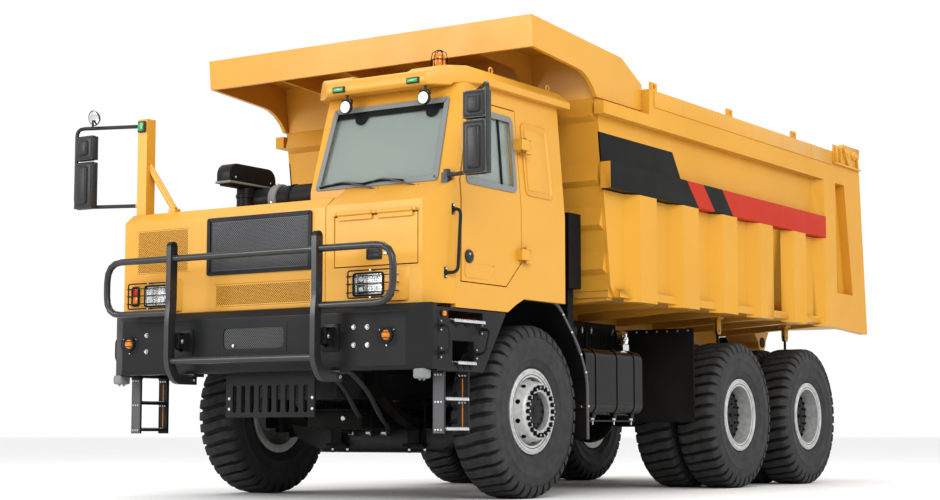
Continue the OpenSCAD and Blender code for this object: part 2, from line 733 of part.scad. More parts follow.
// Door, hung at its rear edge, with its window opening
module cab_door() color(paint) from_front_axle() {
    difference() {
        intersection() {
            difference() {
                cab_solid(0);
                cab_solid(cab_t);
            }
            slab_y(door_outline(0), [1500, cab_left + past]);
        }
        slab_y(door_window, [1500, cab_left + past]);
    }
    for (z = hinge_places) {
        difference() {
            union() {
                bar_z(hinge_x, hinge_y, [z - hinge_h / 2, z + hinge_h / 2], hinge_d + 20);
                block([hinge_x, door_rear + 70], [hinge_y + 4, hinge_y + 20],
                      [z - hinge_h / 2, z + hinge_h / 2]);
                block([door_rear + 40, door_rear + 70], [cab_shoulder - 10, hinge_y + 20],
                      [z - hinge_h / 2, z + hinge_h / 2]);
            }
            bar_z(hinge_x, hinge_y, [z - hinge_h, z + hinge_h], hinge_d + 2 * fit);
        }
    }
}
module door_glass() color(pane) from_front_axle()
    intersection() {
        difference() {
            cab_solid(cab_t / 2 - glass_t / 2);
            cab_solid(cab_t / 2 + glass_t / 2);
        }
        slab_y(door_window, [1500, cab_left + past]);
    }

// Windscreen, rear window and right window
module cab_glass() color(pane) from_front_axle() {
    intersection() {
        difference() {
            cab_solid(20);
            cab_solid(20 + glass_t);
        }
        slab_x(screen_outline, [1000, screen_x + past]);
    }
    block([cab_rear + 20, cab_rear + 20 + glass_t], rear_window[0], rear_window[1]);
    block(right_window[0], [cab_right + 20, cab_right + 20 + glass_t], right_window[1]);
}

// Roof with a visor over the windscreen
roof_left = cab_left - 10;
roof_right = cab_right - 145;
module cab_roof() color(paint) from_front_axle() {
    top = eaves + roof_t;
    visor = screen_at(eaves) + 200;
    back = cab_rear - 130;
    sunk = 35;
    difference() {
        intersection() {
            slab_y([[back, eaves], [screen_at(eaves) + 25, eaves], [screen_at(eaves) + 35, eaves - 20],
                    [visor - 30, eaves - 20], [visor, eaves + 10], [visor - 10, top - 60],
                    [visor - 130, top], [back + 70, top], [back, top - 70]], [roof_right, roof_left]);
            slab_x([[roof_right, eaves - 100], [roof_left, eaves - 100], [roof_left, eaves + 60],
                    [roof_left - 90, top], [roof_right + 90, top], [roof_right, eaves + 60]],
                   [back - past, visor + past]);
            // Front corners cut off in plan
            slab_z([[back - past, roof_right], [visor - 240, roof_right],
                    [visor + past, roof_right + 265], [visor + past, roof_left - 350],
                    [visor - 340, roof_left], [back - past, roof_left]], [eaves - 100, top + past]);
        }
        block([back - past, visor + past], [cab_right + 300, cab_left - 580], [top - sunk, top + past]);
    }
}

// Driver's seat on its pedestal
module seat() color(coal) from_front_axle() {
    y = [720, 1220];
    floor_z = cab_bottom + cab_t;
    block([60, 420], [y[0] + 90, y[1] - 90], [floor_z, floor_z + 330]);
    block([0, 520], y, [floor_z + 330, floor_z + 460]);
    slab_y([[0, floor_z + 460], [150, floor_z + 460], [-20, floor_z + 1150], [-140, floor_z + 1150]], y);
}

// Dashboard across the cab, with the steering column and wheel
wheel_d = 480;
wheel_tilt = 35;
module dashboard() color(coal) from_front_axle() {
    front = screen_x - cab_t;
    face = [[front - 320, 2150], [front, 2150], [front, 2560], [front - 200, 2560], [front - 320, 2440]];
    slab_y(face, [cab_right + cab_t, cab_left - cab_t - 10]);
    block([front - 200, front], [cab_right + cab_t, cab_left - cab_t - 10], [cab_bottom + cab_t, 2150]);
    translate([front - 330, 970, 2400]) rotate([0, -wheel_tilt, 0]) {
        bar_z(0, 0, [-60, 160], 60);
        translate([0, 0, 160]) {
            rotate_extrude() translate([wheel_d / 2, 0]) circle(d = 36);
            for (turn = [90, 210, 330])
                rotate([0, 0, turn]) block([0, wheel_d / 2], [-16, 16], [-8, 8]);
        }
    }
}

// Side panels behind the bumper with foot holes, step plates through them, and a ladder under each
panel_bottom = bumper_bottom - 10;
panel_top = skirt_bottom - 6;
panel_y = [cab_left - 60, cab_left];
step_in = cab_left - 250;
step_out = cab_left + 20;
foot_holes = [[[980, 1480], [1455, 1532]], [[1112, 1424], [1118, 1295]]];
ladder_x = 1512;
ladder_y = [cab_left - 20 - ladder_rail_w, cab_left - 20];
module ladder() {
    rung_z = [ladder_bottom + 20, (ladder_bottom + panel_bottom) / 2 + 10];
    x = [ladder_x - ladder_w, ladder_x];
    for (start = [x[0], x[1] - ladder_rail])
        block([start, start + ladder_rail], ladder_y, [ladder_bottom, panel_bottom + 20]);
    for (z = rung_z)
        block(x, [ladder_y[0] + 5, ladder_y[1] - 5], [z, z + step_t]);
    block([x[0] - 20, frame_front], [ladder_y[0], cab_left - 10], [panel_bottom, panel_bottom + 20]);
}
module steps() color(coal) from_front_axle() both_sides() {
    difference() {
        slab_y([[970, panel_bottom], [frame_front, panel_bottom], [frame_front, panel_top],
                [615, panel_top]],
               panel_y);
        for (hole = foot_holes)
            block(hole[0], [panel_y[0] - past, panel_y[1] + past], hole[1]);
    }
    for (hole = foot_holes)
        block([hole[0][0], hole[0][1] - 40], [step_in, step_out], [hole[1][0] - step_t, hole[1][0]]);
    ladder();
}

// Mirrors: a post on the hood's right corner and an arm on the cab's left, each with two heads
function nose_top(x) = hood_lip + (screen_bottom - hood_lip) * (nose_face - x) / (nose_face - screen_x);
module mirror_heads(x) {
    y = [mirror_reach - 235, mirror_reach - mirror_tube_d / 2];
    for (z = [[2575, 2990], [3015, 3228]])
        block([x - 50, x + 20], y, z);
}
module mirrors() color(coal) from_front_axle() {
    tube_y = mirror_reach - mirror_tube_d / 2;
    post = [1445, 1445 + mirror_post_w];
    right_x = 1750;
    left_x = 1670;
    foot_x = screen_x + 10;
    mirror([0, 1, 0]) {
        block(post, [1515, 1515 + mirror_post_w], [hood_top, 3370]);
        bar_to([1490, 1230, hood_top + 35], [1490, 1540, 2950], 60);
        block([1455, 1525], [1190, 1270], [hood_top, hood_top + 40]);
        tube(rounded([[post[1] - 30, 1570, 3310], [right_x, tube_y, 3310], [right_x, tube_y, 2590],
                      [post[1] - 30, 1600, 2590]], 70), mirror_tube_d, [1, 1, 0]);
        mirror_heads(right_x);
    }
    tube(rounded([[1130, cab_shoulder + 30, 3290], [left_x, tube_y, 3290], [left_x, tube_y, 2600],
                  [foot_x + 20, 1630, 2625]], 70), mirror_tube_d, [1, 1, 0]);
    block([1095, 1150], [cab_shoulder + 15, cab_shoulder + 45], [3265, 3315]);
    slab_y([[foot_x, nose_top(foot_x)], [foot_x + 50, nose_top(foot_x + 50)], [foot_x + 50, 2650],
            [foot_x, 2650]],
           [1600, 1660]);
    mirror_heads(left_x);
}

// Head lamps, roof lamps and the beacon
module lamps() color([0.9, 0.9, 0.88]) from_front_axle() {
    visor = screen_at(eaves) + 200;
    for (y = [[-1576, -1164], [855, 1336]])
        block([nose_face, nose_face + 26], y, [1622, 1868]);
    for (y = [505, 1311]) {
        bar_x([visor - 90, visor - 30], y, eaves - 125, 116);
        block([visor - 75, visor - 45], [y - 20, y + 20], [eaves - 100, eaves - 20]);
    }
    for (y = [461, 1230])
        block([visor, visor + 20], [y - 60, y + 60], [eaves - 5, eaves + 40]);
    bar_z(1000, 1280, [eaves + roof_t, eaves + roof_t + 40], 150);
    bar_z(1000, 1280, [eaves + roof_t + 40, eaves + roof_t + 180], 110);
}

// Air cleaner on the hood: intake head, canister and its foot
module air_cleaner() color(coal) from_front_axle() {
    block([420, 980], [-1250, -520], [hood_top, hood_top + 60]);
    bar_z(780, -1050, [hood_top + 50, 2830], 210);
    bar_z(780, -1050, [2790, 3000], 340);
    bar_y(620, [-1000, cab_right - 30], hood_top + 180, 250);
    block([560, 680], [-300, -200], [hood_top, hood_top + 120]);
}

// Cooler unit on a bracket behind the cab
module cab_rear_unit() color(coal) from_front_axle() {
    block([-780, -560], [1330, 1620], [1850, 2530]);
    block([-740, -640], [rail_in, rail_out], [frame_top, frame_top + 110]);
    block([-740, -640], [rail_in, 1600], [frame_top + 40, frame_top + 110]);
    block([-740, -640], [1380, 1560], [frame_top + 40, 1860]);
}

// Bed outlines: front and rear edges lean back towards the floor
function front_at(z) = bed_front_x + bed_lean * (z - floor_bottom) / (rail_bottom - floor_bottom);
function rear_at(z) = bed_rear_x - 25 + 190 * (z - floor_bottom) / (canopy_top - floor_bottom);
wall_out = bed_half - rib_t;
wall_in = wall_out - wall_t;
floor_top = floor_bottom + floor_t;
canopy_foot = rail_top - 204;
canopy_tail = -1604;
gate_t = 60;

// Floor plate with the pivoted hoist's clearance under it
module bed_floor() color(paint) from_front_axle()
    block([bed_rear_x + gate_t, bed_front_x], [-wall_in, wall_in], [floor_bottom, floor_top]);

// Side wall: panel, ribs, beam, rails, rear frame and the tailgate's hinge bracket
gate_pin = [rear_at(rail_top) - 25, rail_top + 70];
gate_pin_d = 44;
lug_places = [-1778, -3467, -5120];
bed_beam = [2765, 3008];
module rib(front, top) {
    flank = 140;
    slab_z([[front + flank, wall_out - past], [front, bed_half], [front - rib_w, bed_half],
            [front - rib_w - flank, wall_out - past]], [floor_bottom - 30, top]);
}
module bed_side() {
    rear_post = rib_start - (rib_count - 1) * rib_pitch;
    frame_start = rear_post - rib_w;
    slab_y([[front_at(floor_bottom + 90), floor_bottom + 90], [front_at(floor_bottom) - 70, floor_bottom],
            [rear_at(floor_bottom), floor_bottom], [rear_at(rail_top), rail_top], [canopy_tail, rail_top],
            [canopy_tail, canopy_foot], [front_at(canopy_foot), canopy_foot]], [wall_in, wall_out]);
    for (k = [0:rib_count - 1])
        rib(rib_start - k * rib_pitch, k < rib_count - 1 ? bed_beam[0] + past : rail_bottom + past);
    block([frame_start, rib_start + 570], [wall_out, bed_half], bed_beam);
    block([frame_start, canopy_tail], [wall_out, bed_half], [rail_bottom, rail_top]);
    block([canopy_tail, front_at(rail_bottom) + 70], [wall_out, bed_half], [rail_bottom, 3545]);
    block([frame_start, front_at(floor_bottom) - 70], [wall_out, wall_out + 50],
          [floor_bottom, floor_bottom + 75]);
    slab_y([[frame_start, floor_bottom - 30], [rear_at(floor_bottom - 70), floor_bottom - 70],
            [rear_at(rail_top), rail_top], [frame_start, rail_top], [frame_start, rail_bottom],
            [frame_start - 270, rail_bottom], [frame_start - 480, 2156], [frame_start, 2156]],
           [wall_out, bed_half]);
    slab_y([[gate_pin[0] + 560, rail_top], [gate_pin[0] + 460, rail_top + 130],
            [gate_pin[0] - 60, rail_top + 130],
            [gate_pin[0] - 60, rail_top + 20], [gate_pin[0] + 40, rail_top]],
    [bed_half - 70, bed_half - 20]);
    bar_y(gate_pin[0], [wall_in - 70, bed_half - 20], gate_pin[1], gate_pin_d);
    for (x = lug_places)
        difference() {
            block([x - 60, x + 60], [bed_half - 62, bed_half - 38], [rail_top, rail_top + 90]);
            bar_y(x, [bed_half - 100, bed_half], rail_top + 50, 44);
        }
}
module bed_side_left() color(paint) from_front_axle() bed_side();
module bed_side_right() color(paint) from_front_axle() mirror([0, 1, 0]) bed_side();

// Front wall with shelf ribs, and the canopy over the cab
module bed_front() color(paint) from_front_axle() {
    t = 40;
    head = canopy_top - 90;
    soffit = canopy_top - canopy_face;
    lip = canopy_front - 26;
    curve = [for (a = [0:15:60]) [-365 - 430 * sin(a),
                                  max(canopy_foot, soffit - 58 - 430 * (1 - cos(a)))]];
    slab_y([[front_at(floor_top), floor_top], [front_at(head), head], [front_at(head) - t, head],
            [front_at(floor_top) - t, floor_top]], [-wall_in, wall_in]);
    for (z = [1990, 2390, 2790, 3370])
        slab_y([[front_at(z) - 10, z], [front_at(z) + 80, z + 50], [front_at(z + 240) - 10, z + 240]],
               [-wall_in, wall_in]);
    both_sides()
        slab_y(concat([[canopy_front, canopy_top], [lip, soffit]], curve,
                      [[-876, canopy_foot], [canopy_tail, canopy_foot], [canopy_tail, rail_top + 47],
                       [-1210, canopy_top - 101]]), [wall_out - 20, wall_out + 20]);
    slab_y([[canopy_front, canopy_top], [lip, soffit], [lip - 34, soffit], [lip - 10, canopy_top]],
           [-wall_out, wall_out]);
    slab_y([[canopy_front, canopy_top - 4], [front_at(head) - t, canopy_top - 70],
            [front_at(head) - t, canopy_top - 100],
            [canopy_front - 20, canopy_top - 34]], [-wall_out, wall_out]);
    for (y = [-1120, -380, 380, 1120])
        slab_y([[lip - 20, soffit + 60], [lip - 20, canopy_top - 20],
                [front_at(head) - 20, canopy_top - 90],
                [front_at(3700), 3700], [-420, soffit + 20]], [y - 14, y + 14]);
}

// Longitudinal beams, cross bolsters, hinge knuckles and hoist ears under the floor
module bed_underframe() color(paint) from_front_axle() {
    knuckle_y = [rail_out + clear + 20, 890];
    x = [pivot_x + 300, bed_front_x - 60];
    both_sides() {
        block(x, [rail_in, rail_out], [frame_top + clear, floor_bottom]);
        for (k = [0:6])
            slab_x([[rail_out - 10, floor_bottom - 100], [wall_in - 30, floor_bottom - 25],
                    [wall_in - 30, floor_bottom], [rail_out - 10, floor_bottom]],
                   [x[1] - 60 - k * 830, x[1] + 40 - k * 830]);
        difference() {
            union() {
                bar_y(pivot_x, knuckle_y, pivot_z, pivot_d + 90);
                slab_y([[pivot_x - 100, pivot_z], [pivot_x + 100, pivot_z], [pivot_x + 300, floor_bottom],
                        [pivot_x - 220, floor_bottom]], knuckle_y);
                block([pivot_x + 160, pivot_x + 340], [rail_out - 10, knuckle_y[1]],
                      [floor_bottom - 60, floor_bottom]);
            }
            bar_y(pivot_x, [knuckle_y[0] - past, knuckle_y[1] + past], pivot_z, pivot_d + 2 * fit);
        }
        for (side = [-1, 1]) {
            y = hoist_y + side * (hoist_eye_w + ear_t + 1) / 2;
            slab_y([[hoist_eye_x - 110, floor_bottom], [hoist_eye_x + 110, floor_bottom],
                    [hoist_eye_x + 50, hoist_eye_z - 60], [hoist_eye_x - 50, hoist_eye_z - 60]],
                   [y - ear_t / 2, y + ear_t / 2]);
        }
    }
    for (place = [-1700, -2500, -4300, -5300])
        block([place, place + 100], [-rail_in - 10, rail_in + 10], [floor_bottom - 100, floor_bottom]);
}

// Tailgate hung from the brackets at the top of the bed's rear corners
module tailgate() color(paint) from_front_axle() {
    y = wall_in - door_gap;
    low = floor_bottom + 15;
    high = rail_top - 20;
    slab_y([[rear_at(low), low], [rear_at(high), high], [rear_at(high) + gate_t, high],
            [rear_at(low) + gate_t, low]],
           [-y, y]);
    for (z = [2000, 2600, 3200])
        slab_y([[rear_at(z) + 10, z], [rear_at(z) - 40, z + 20], [rear_at(z) - 40, z + 100],
                [rear_at(z) + 10, z + 120]],
               [-y + 60, y - 60]);
    both_sides() difference() {
        union() {
            bar_y(gate_pin[0], [wall_in - 65, wall_out + 20], gate_pin[1], 100);
            slab_y([[gate_pin[0] - 50, gate_pin[1]], [gate_pin[0] + 50, gate_pin[1]],
                    [rear_at(high) + 50, high - 100],
                    [rear_at(high - 300), high - 300], [rear_at(high - 300) - 40, high - 250]],
    [wall_in - 65, y]);
        }
        bar_y(gate_pin[0], [wall_in - 100, bed_half], gate_pin[1], gate_pin_d + 2 * fit);
    }
}

// Tyre and rim sections, as radius against place across the wheel
rim_r = rim_d / 2;
seat_r = rim_r - 50;
module tyre() {
    half = tyre_w / 2;
    r = tyre_d / 2;
    base = r - lug_depth;
    bead = rim_w / 2 - 20 - fit;
    lug_l = 360 / lug_count * PI / 180 * r - lug_gap;
    right = [[seat_r + fit, bead], [rim_r + fit, bead], [rim_r + 8, half - 38], [rim_r + 80, half - 12],
             [r - 190, half], [r - 95, half - 3], [base - 34, half - 14], [base - 6, tread_w / 2 + 22],
             [base, tread_w / 2]];
    rotate_extrude($fn = 96)
        polygon(concat(right, [for (k = [len(right) - 1:-1:0]) [right[k][0], -right[k][1]]]));
    for (k = [1:lug_count])
        rotate([0, 0, 360 * k / lug_count]) translate([base - 30, -lug_l / 2, -tread_w / 2 - 14])
            cube([sqrt(r * r - lug_l * lug_l / 4) - base + 30, lug_l, tread_w + 28]);
}
module rim_barrel() {
    half = rim_w / 2;
    right = [[seat_r - rim_t, half - 4], [rim_r - 12, half + 6], [rim_r, half], [rim_r, half - 20],
             [seat_r, half - 20]];
    rotate_extrude($fn = 96)
        polygon(concat(right, [for (k = [len(right) - 1:-1:0]) [right[k][0], -right[k][1]]]));
}
module disc(z, holes) difference() {
    translate([0, 0, z]) cylinder(r = seat_r - rim_t + 4, h = rim_t, $fn = 96);
    for (k = [1:hand_holes])
        rotate([0, 0, 360 * k / hand_holes]) translate([(hub_d / 2 + seat_r - rim_t) / 2, 0, z - past])
            cylinder(d = holes, h = rim_t + 2 * past);
}
// Wheels face outwards along local Z, on the side given by 1 for left or -1 for right
module wheel_place(x, y, side) translate([x, side * y, hub_z]) rotate([-90 * side, 0, 0]) children();
nut_ring_r = 222;
dish_start = 60;
dish_h = 90;
module front_rim() difference() {
    union() {
        rim_barrel();
        difference() {
            translate([0, 0, dish_start]) cylinder(r1 = seat_r - rim_t + 4, r2 = nut_ring_r, h = dish_h,
                                                   $fn = 96);
            translate([0, 0, dish_start - rim_t])
                cylinder(r1 = seat_r - rim_t + 4, r2 = nut_ring_r, h = dish_h, $fn = 96);
            for (k = [1:hand_holes])
                rotate([0, 0, 360 * k / hand_holes]) translate([nut_ring_r + 24, 0, 0])
                    cylinder(d = 40, h = rim_w);
        }
        translate([0, 0, dish_start + dish_h - rim_t]) cylinder(r = nut_ring_r, h = rim_t);
        translate([0, 0, -60]) cylinder(d = hub_d, h = 60 + rim_w / 2 + hub_nose - 50);
        translate([0, 0, rim_w / 2 - 20]) cylinder(d = hub_d - 60, h = hub_nose + 20);
    }
    translate([0, 0, -60 - past]) cylinder(d = front_spindle_d + 2 * fit,
                                           h = 60 + past + spindle_end - front_y + 1);
}
module front_tyre_left() color(rubber) from_front_axle() wheel_place(0, front_y, 1) tyre();
module front_tyre_right() color(rubber) from_front_axle() wheel_place(0, front_y, -1) tyre();
module front_rim_left() color(steel) from_front_axle() wheel_place(0, front_y, 1) front_rim();
module front_rim_right() color(steel) from_front_axle() wheel_place(0, front_y, -1) front_rim();

// Twin wheels: two rims bolted back to back on one hub
module twin_tyres() for (z = [-twin_gap / 2, twin_gap / 2]) translate([0, 0, z]) tyre();
module twin_rims() difference() {
    union() {
        for (z = [-twin_gap / 2, twin_gap / 2])
            translate([0, 0, z]) rim_barrel();
        translate([0, 0, -twin_gap / 2 + rim_w / 2 - 30]) {
            disc(0, 70);
            translate([0, 0, twin_gap - rim_w + 60 - rim_t]) disc(0, 70);
        }
        translate([0, 0, -190]) cylinder(d = hub_d, h = 340);
        translate([0, 0, 140]) cylinder(d = hub_d - 80, h = 90);
    }
    translate([0, 0, -190 - past]) cylinder(d = rear_spindle_d + 2 * fit, h = 190 + past + 121);
}
module mid_tyres_left() color(rubber) from_front_axle() wheel_place(mid_x, twin_y, 1) twin_tyres();
module mid_tyres_right() color(rubber) from_front_axle() wheel_place(mid_x, twin_y, -1) twin_tyres();
module rear_tyres_left() color(rubber) from_front_axle() wheel_place(rear_x, twin_y, 1) twin_tyres();
module rear_tyres_right() color(rubber) from_front_axle() wheel_place(rear_x, twin_y, -1) twin_tyres();
module mid_rims_left() color(steel) from_front_axle() wheel_place(mid_x, twin_y, 1) twin_rims();
module mid_rims_right() color(steel) from_front_axle() wheel_place(mid_x, twin_y, -1) twin_rims();
module rear_rims_left() color(steel) from_front_axle() wheel_place(rear_x, twin_y, 1) twin_rims();
module rear_rims_right() color(steel) from_front_axle() wheel_place(rear_x, twin_y, -1) twin_rims();

// Hoist cylinders, drawn along local X from the foot and then turned up to the eye
hoist_rise = atan2(hoist_eye_z - hoist_foot_z, hoist_eye_x - hoist_foot_x);
hoist_l = norm([hoist_eye_x - hoist_foot_x, hoist_eye_z - hoist_foot_z]);
barrel_end = hoist_l - 240;
module hoist_place() both_sides() translate([hoist_foot_x, hoist_y, hoist_foot_z])
    rotate([0, -hoist_rise, 0]) children();
module hoist_barrels() color(paint) from_front_axle() hoist_place() difference() {
    union() {
        bar_y(0, [-hoist_eye_w / 2, hoist_eye_w / 2], 0, 120);
        bar_x([0, 230], 0, 0, 100);
        bar_x([220, barrel_end], 0, 0, barrel_d);
    }
    bar_y(0, [-hoist_eye_w, hoist_eye_w], 0, hoist_pin_d + 2 * fit);
    bar_x([290, barrel_end + past], 0, 0, stage_d + 1);
}
module hoist_stages() color(steel) from_front_axle() hoist_place() difference() {
    bar_x([310, barrel_end + 70], 0, 0, stage_d);
    bar_x([380, barrel_end + 70 + past], 0, 0, hoist_rod_d + 1);
}
module hoist_rods() color(steel) from_front_axle() hoist_place() {
    bar_x([400, hoist_l - 20], 0, 0, hoist_rod_d);
    bar_y(hoist_l, [-hoist_eye_w / 2, hoist_eye_w / 2], 0, 120);
}

frame();
front_axle();
front_springs();
rear_axles();
rear_suspension();
drive_shafts();
engine();
radiator();
bumper();
guard();
skid_plate();
hood();
grilles();
cab_shell();
cab_nose();
cab_roof();
cab_glass();
seat();
dashboard();
fuel_tank();
oil_tank();
mudguards();
fenders();
steps();
mirrors();
lamps();
air_cleaner();
cab_rear_unit();
bed_floor();
bed_side_left();
bed_side_right();
bed_front();
bed_underframe();
tailgate();
knuckle_left();
knuckle_right();
tie_rod();
front_tyre_left();
front_tyre_right();
front_rim_left();
front_rim_right();
mid_tyres_left();
mid_tyres_right();
rear_tyres_left();
rear_tyres_right();
mid_rims_left();
mid_rims_right();
rear_rims_left();
rear_rims_right();
cab_door();
door_glass();
front_hatch();
hoist_barrels();
hoist_stages();
hoist_rods();
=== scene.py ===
"""Mining dump truck: finishes, tyres, grilles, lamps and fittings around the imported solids."""
import math

import bmesh
import bpy
from mathutils import Matrix, Vector


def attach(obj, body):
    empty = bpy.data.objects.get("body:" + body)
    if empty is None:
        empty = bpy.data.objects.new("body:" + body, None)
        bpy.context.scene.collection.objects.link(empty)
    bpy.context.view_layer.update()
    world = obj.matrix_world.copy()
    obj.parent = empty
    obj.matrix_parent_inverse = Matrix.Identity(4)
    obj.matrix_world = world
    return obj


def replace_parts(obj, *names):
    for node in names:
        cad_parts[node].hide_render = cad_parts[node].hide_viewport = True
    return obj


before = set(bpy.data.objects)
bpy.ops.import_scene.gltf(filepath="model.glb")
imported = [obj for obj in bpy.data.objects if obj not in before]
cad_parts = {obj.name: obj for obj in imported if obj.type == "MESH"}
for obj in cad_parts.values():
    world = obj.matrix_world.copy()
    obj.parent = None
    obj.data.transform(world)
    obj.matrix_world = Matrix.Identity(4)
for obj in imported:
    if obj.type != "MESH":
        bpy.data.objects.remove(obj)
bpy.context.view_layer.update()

# Places along the truck are counted from the front axle, as in the part's source
FRONT_AXLE = 2.535
MID_AXLE = FRONT_AXLE - 3.760
REAR_AXLE = MID_AXLE - 1.780
HUB_HEIGHT = 0.745
LEFT, RIGHT = 1, -1
SIDES = (("left", LEFT), ("right", RIGHT))
AHEAD, LEFTWARD, UP = (1, 0, 0), (0, 1, 0), (0, 0, 1)
RIGHTWARD, DOWN = (0, -1, 0), (0, 0, -1)
EVEN = (1.0, 1.0, 1.0)


def along(x):
    """Place along the truck, from a distance ahead of the front axle."""
    return FRONT_AXLE + x


def beside(side, near, far):
    """Two places across the truck on one side, the lower first."""
    return (near, far) if side == LEFT else (-far, -near)


# Camera at the photograph's view
PHOTO_SPOT = Vector((along(13.305), 9.668, 0.567))
PHOTO_YAW = math.radians(33.288)
PHOTO_PITCH = math.radians(5.786)
PHOTO_FOCAL_PIXELS = 1798.4
PHOTO_WIDTH_PIXELS = 940
SENSOR_WIDTH = 36.0


def place_camera():
    """The camera as it was fitted to the photograph."""
    lens = bpy.data.cameras.new("photo_view")
    lens.sensor_width = SENSOR_WIDTH
    lens.lens = PHOTO_FOCAL_PIXELS * SENSOR_WIDTH / PHOTO_WIDTH_PIXELS
    lens.clip_end = 200.0
    camera = bpy.data.objects.new("photo_view", lens)
    level = math.cos(PHOTO_PITCH)
    sight = Vector((-math.cos(PHOTO_YAW) * level, -math.sin(PHOTO_YAW) * level, math.sin(PHOTO_PITCH)))
    camera.location = PHOTO_SPOT
    camera.rotation_euler = sight.to_track_quat("-Z", "Y").to_euler()
    bpy.context.scene.collection.objects.link(camera)
    bpy.context.scene.camera = camera


def soft_light(name, spot, aim, size, watts):
    """A rectangular area light at a spot, aimed at a point."""
    lamp = bpy.data.lights.new(name, "AREA")
    lamp.shape = "RECTANGLE"
    lamp.size, lamp.size_y = size
    lamp.energy = watts
    holder = bpy.data.objects.new(name, lamp)
    holder.location = spot
    holder.rotation_euler = (Vector(aim) - Vector(spot)).to_track_quat("-Z", "Y").to_euler()
    bpy.context.scene.collection.objects.link(holder)


# Finishes

def finish(name, colour, roughness, metallic=0.0):
    """A new material with one shader; its even values sit on the shader's own sockets."""
    material = bpy.data.materials.new(name)
    material.use_nodes = True
    shader = material.node_tree.nodes["Principled BSDF"]
    shader.inputs["Base Color"].default_value = (*colour, 1.0)
    shader.inputs["Roughness"].default_value = roughness
    shader.inputs["Metallic"].default_value = metallic
    material.diffuse_color = (*colour, 1.0)
    return material


def add_node(material, kind, **values):
    """A new shader node with its settings."""
    made = material.node_tree.nodes.new(kind)
    for key, value in values.items():
        setattr(made, key, value)
    return made


def connect(material, source, target):
    """Links an output to an input among a material's nodes."""
    material.node_tree.links.new(source, target)


def shader_of(material):
    """The one shader of a material."""
    return material.node_tree.nodes["Principled BSDF"]


def tune(material, values):
    """Sets even values on the shader, by the names of its sockets."""
    for socket, value in values.items():
        shader_of(material).inputs[socket].default_value = value


def place_on_piece(material):
    """Object coordinates, which are places in the truck's frame."""
    found = material.node_tree.nodes.get("Texture Coordinate")
    return (found or add_node(material, "ShaderNodeTexCoord")).outputs["Object"]


def grain(material, scale, detail=4.0, stretch=EVEN):
    """A noise pattern, stretched along the axes; returns its grey value."""
    noise = add_node(material, "ShaderNodeTexNoise")
    noise.inputs["Scale"].default_value = scale
    noise.inputs["Detail"].default_value = detail
    spread = add_node(material, "ShaderNodeMapping")
    spread.inputs["Scale"].default_value = stretch
    connect(material, place_on_piece(material), spread.inputs["Vector"])
    connect(material, spread.outputs["Vector"], noise.inputs["Vector"])
    return noise.outputs["Fac"]


def remap(material, value, low, high, to_low, to_high):
    """A grey value taken from one range to another and clamped."""
    ramp = add_node(material, "ShaderNodeMapRange", clamp=True)
    for socket, number in (("From Min", low), ("From Max", high), ("To Min", to_low), ("To Max", to_high)):
        ramp.inputs[socket].default_value = number
    connect(material, value, ramp.inputs["Value"])
    return ramp.outputs["Result"]


def blend_colour(material, amount, under, over):
    """Two colours mixed by a grey value; each is a colour or a socket that gives one."""
    mix = add_node(material, "ShaderNodeMix", data_type="RGBA")
    connect(material, amount, mix.inputs["Factor"])
    for socket, colour in ((mix.inputs[6], under), (mix.inputs[7], over)):
        if isinstance(colour, tuple):
            socket.default_value = (*colour, 1.0)
        else:
            connect(material, colour, socket)
    return mix.outputs[2]


def compute(material, step, first, second):
    """One sum on grey values; each is a number or a socket."""
    sum_node = add_node(material, "ShaderNodeMath", operation=step)
    for socket, value in zip(sum_node.inputs, (first, second)):
        if isinstance(value, (int, float)):
            socket.default_value = value
        else:
            connect(material, value, socket)
    return sum_node.outputs[0]


def emboss(material, height, strength, distance):
    """Gives the shader a bump from a height value."""
    bump = add_node(material, "ShaderNodeBump")
    bump.inputs["Strength"].default_value = strength
    bump.inputs["Distance"].default_value = distance
    connect(material, height, bump.inputs["Height"])
    connect(material, bump.outputs["Normal"], shader_of(material).inputs["Normal"])


DUST = (0.36, 0.30, 0.22)
DUST_LOW, DUST_TOP = 0.2, 2.2


def settle_dust(material, colour, most):
    """Fine dust that thickens towards the ground, over a colour or a socket."""
    height = add_node(material, "ShaderNodeSeparateXYZ")
    connect(material, place_on_piece(material), height.inputs["Vector"])
    low = remap(material, height.outputs["Z"], DUST_LOW, DUST_TOP, most, most * 0.12)
    cloud = remap(material, grain(material, 2.3, 6.0), 0.35, 0.75, 0.0, 1.0)
    amount = compute(material, "MULTIPLY", low, cloud)
    return blend_colour(material, amount, colour, DUST)


def lay_colour(material, colour):
    """Feeds a colour socket to the shader."""
    connect(material, colour, shader_of(material).inputs["Base Color"])


def vary_gloss(material, scale, low, high, stretch=EVEN):
    """Lets the roughness drift between two values."""
    gloss = remap(material, grain(material, scale, 5.0, stretch), 0.3, 0.7, low, high)
    connect(material, gloss, shader_of(material).inputs["Roughness"])


def drifted(material, colour, shade):
    """Two close tones of one paint in broad clouds."""
    cloud = remap(material, grain(material, 0.9, 3.0), 0.3, 0.7, 0.0, 1.0)
    return blend_colour(material, cloud, colour, shade)


def orange_peel(material):
    """The fine ripple of sprayed paint."""
    emboss(material, grain(material, 260.0, 2.0), 0.05, 0.002)


def sprayed(name, colour, shade, roughness, dust, coat, gleam):
    """Sprayed enamel: slight colour drift, orange peel, a thin clear coat and a little dust."""
    material = finish(name, colour, roughness)
    tune(material, {"Coat Weight": coat, "Coat Roughness": 0.12, "Specular IOR Level": gleam})
    lay_colour(material, settle_dust(material, drifted(material, colour, shade), dust))
    vary_gloss(material, 3.5, roughness - 0.06, roughness + 0.08)
    orange_peel(material)
    return material


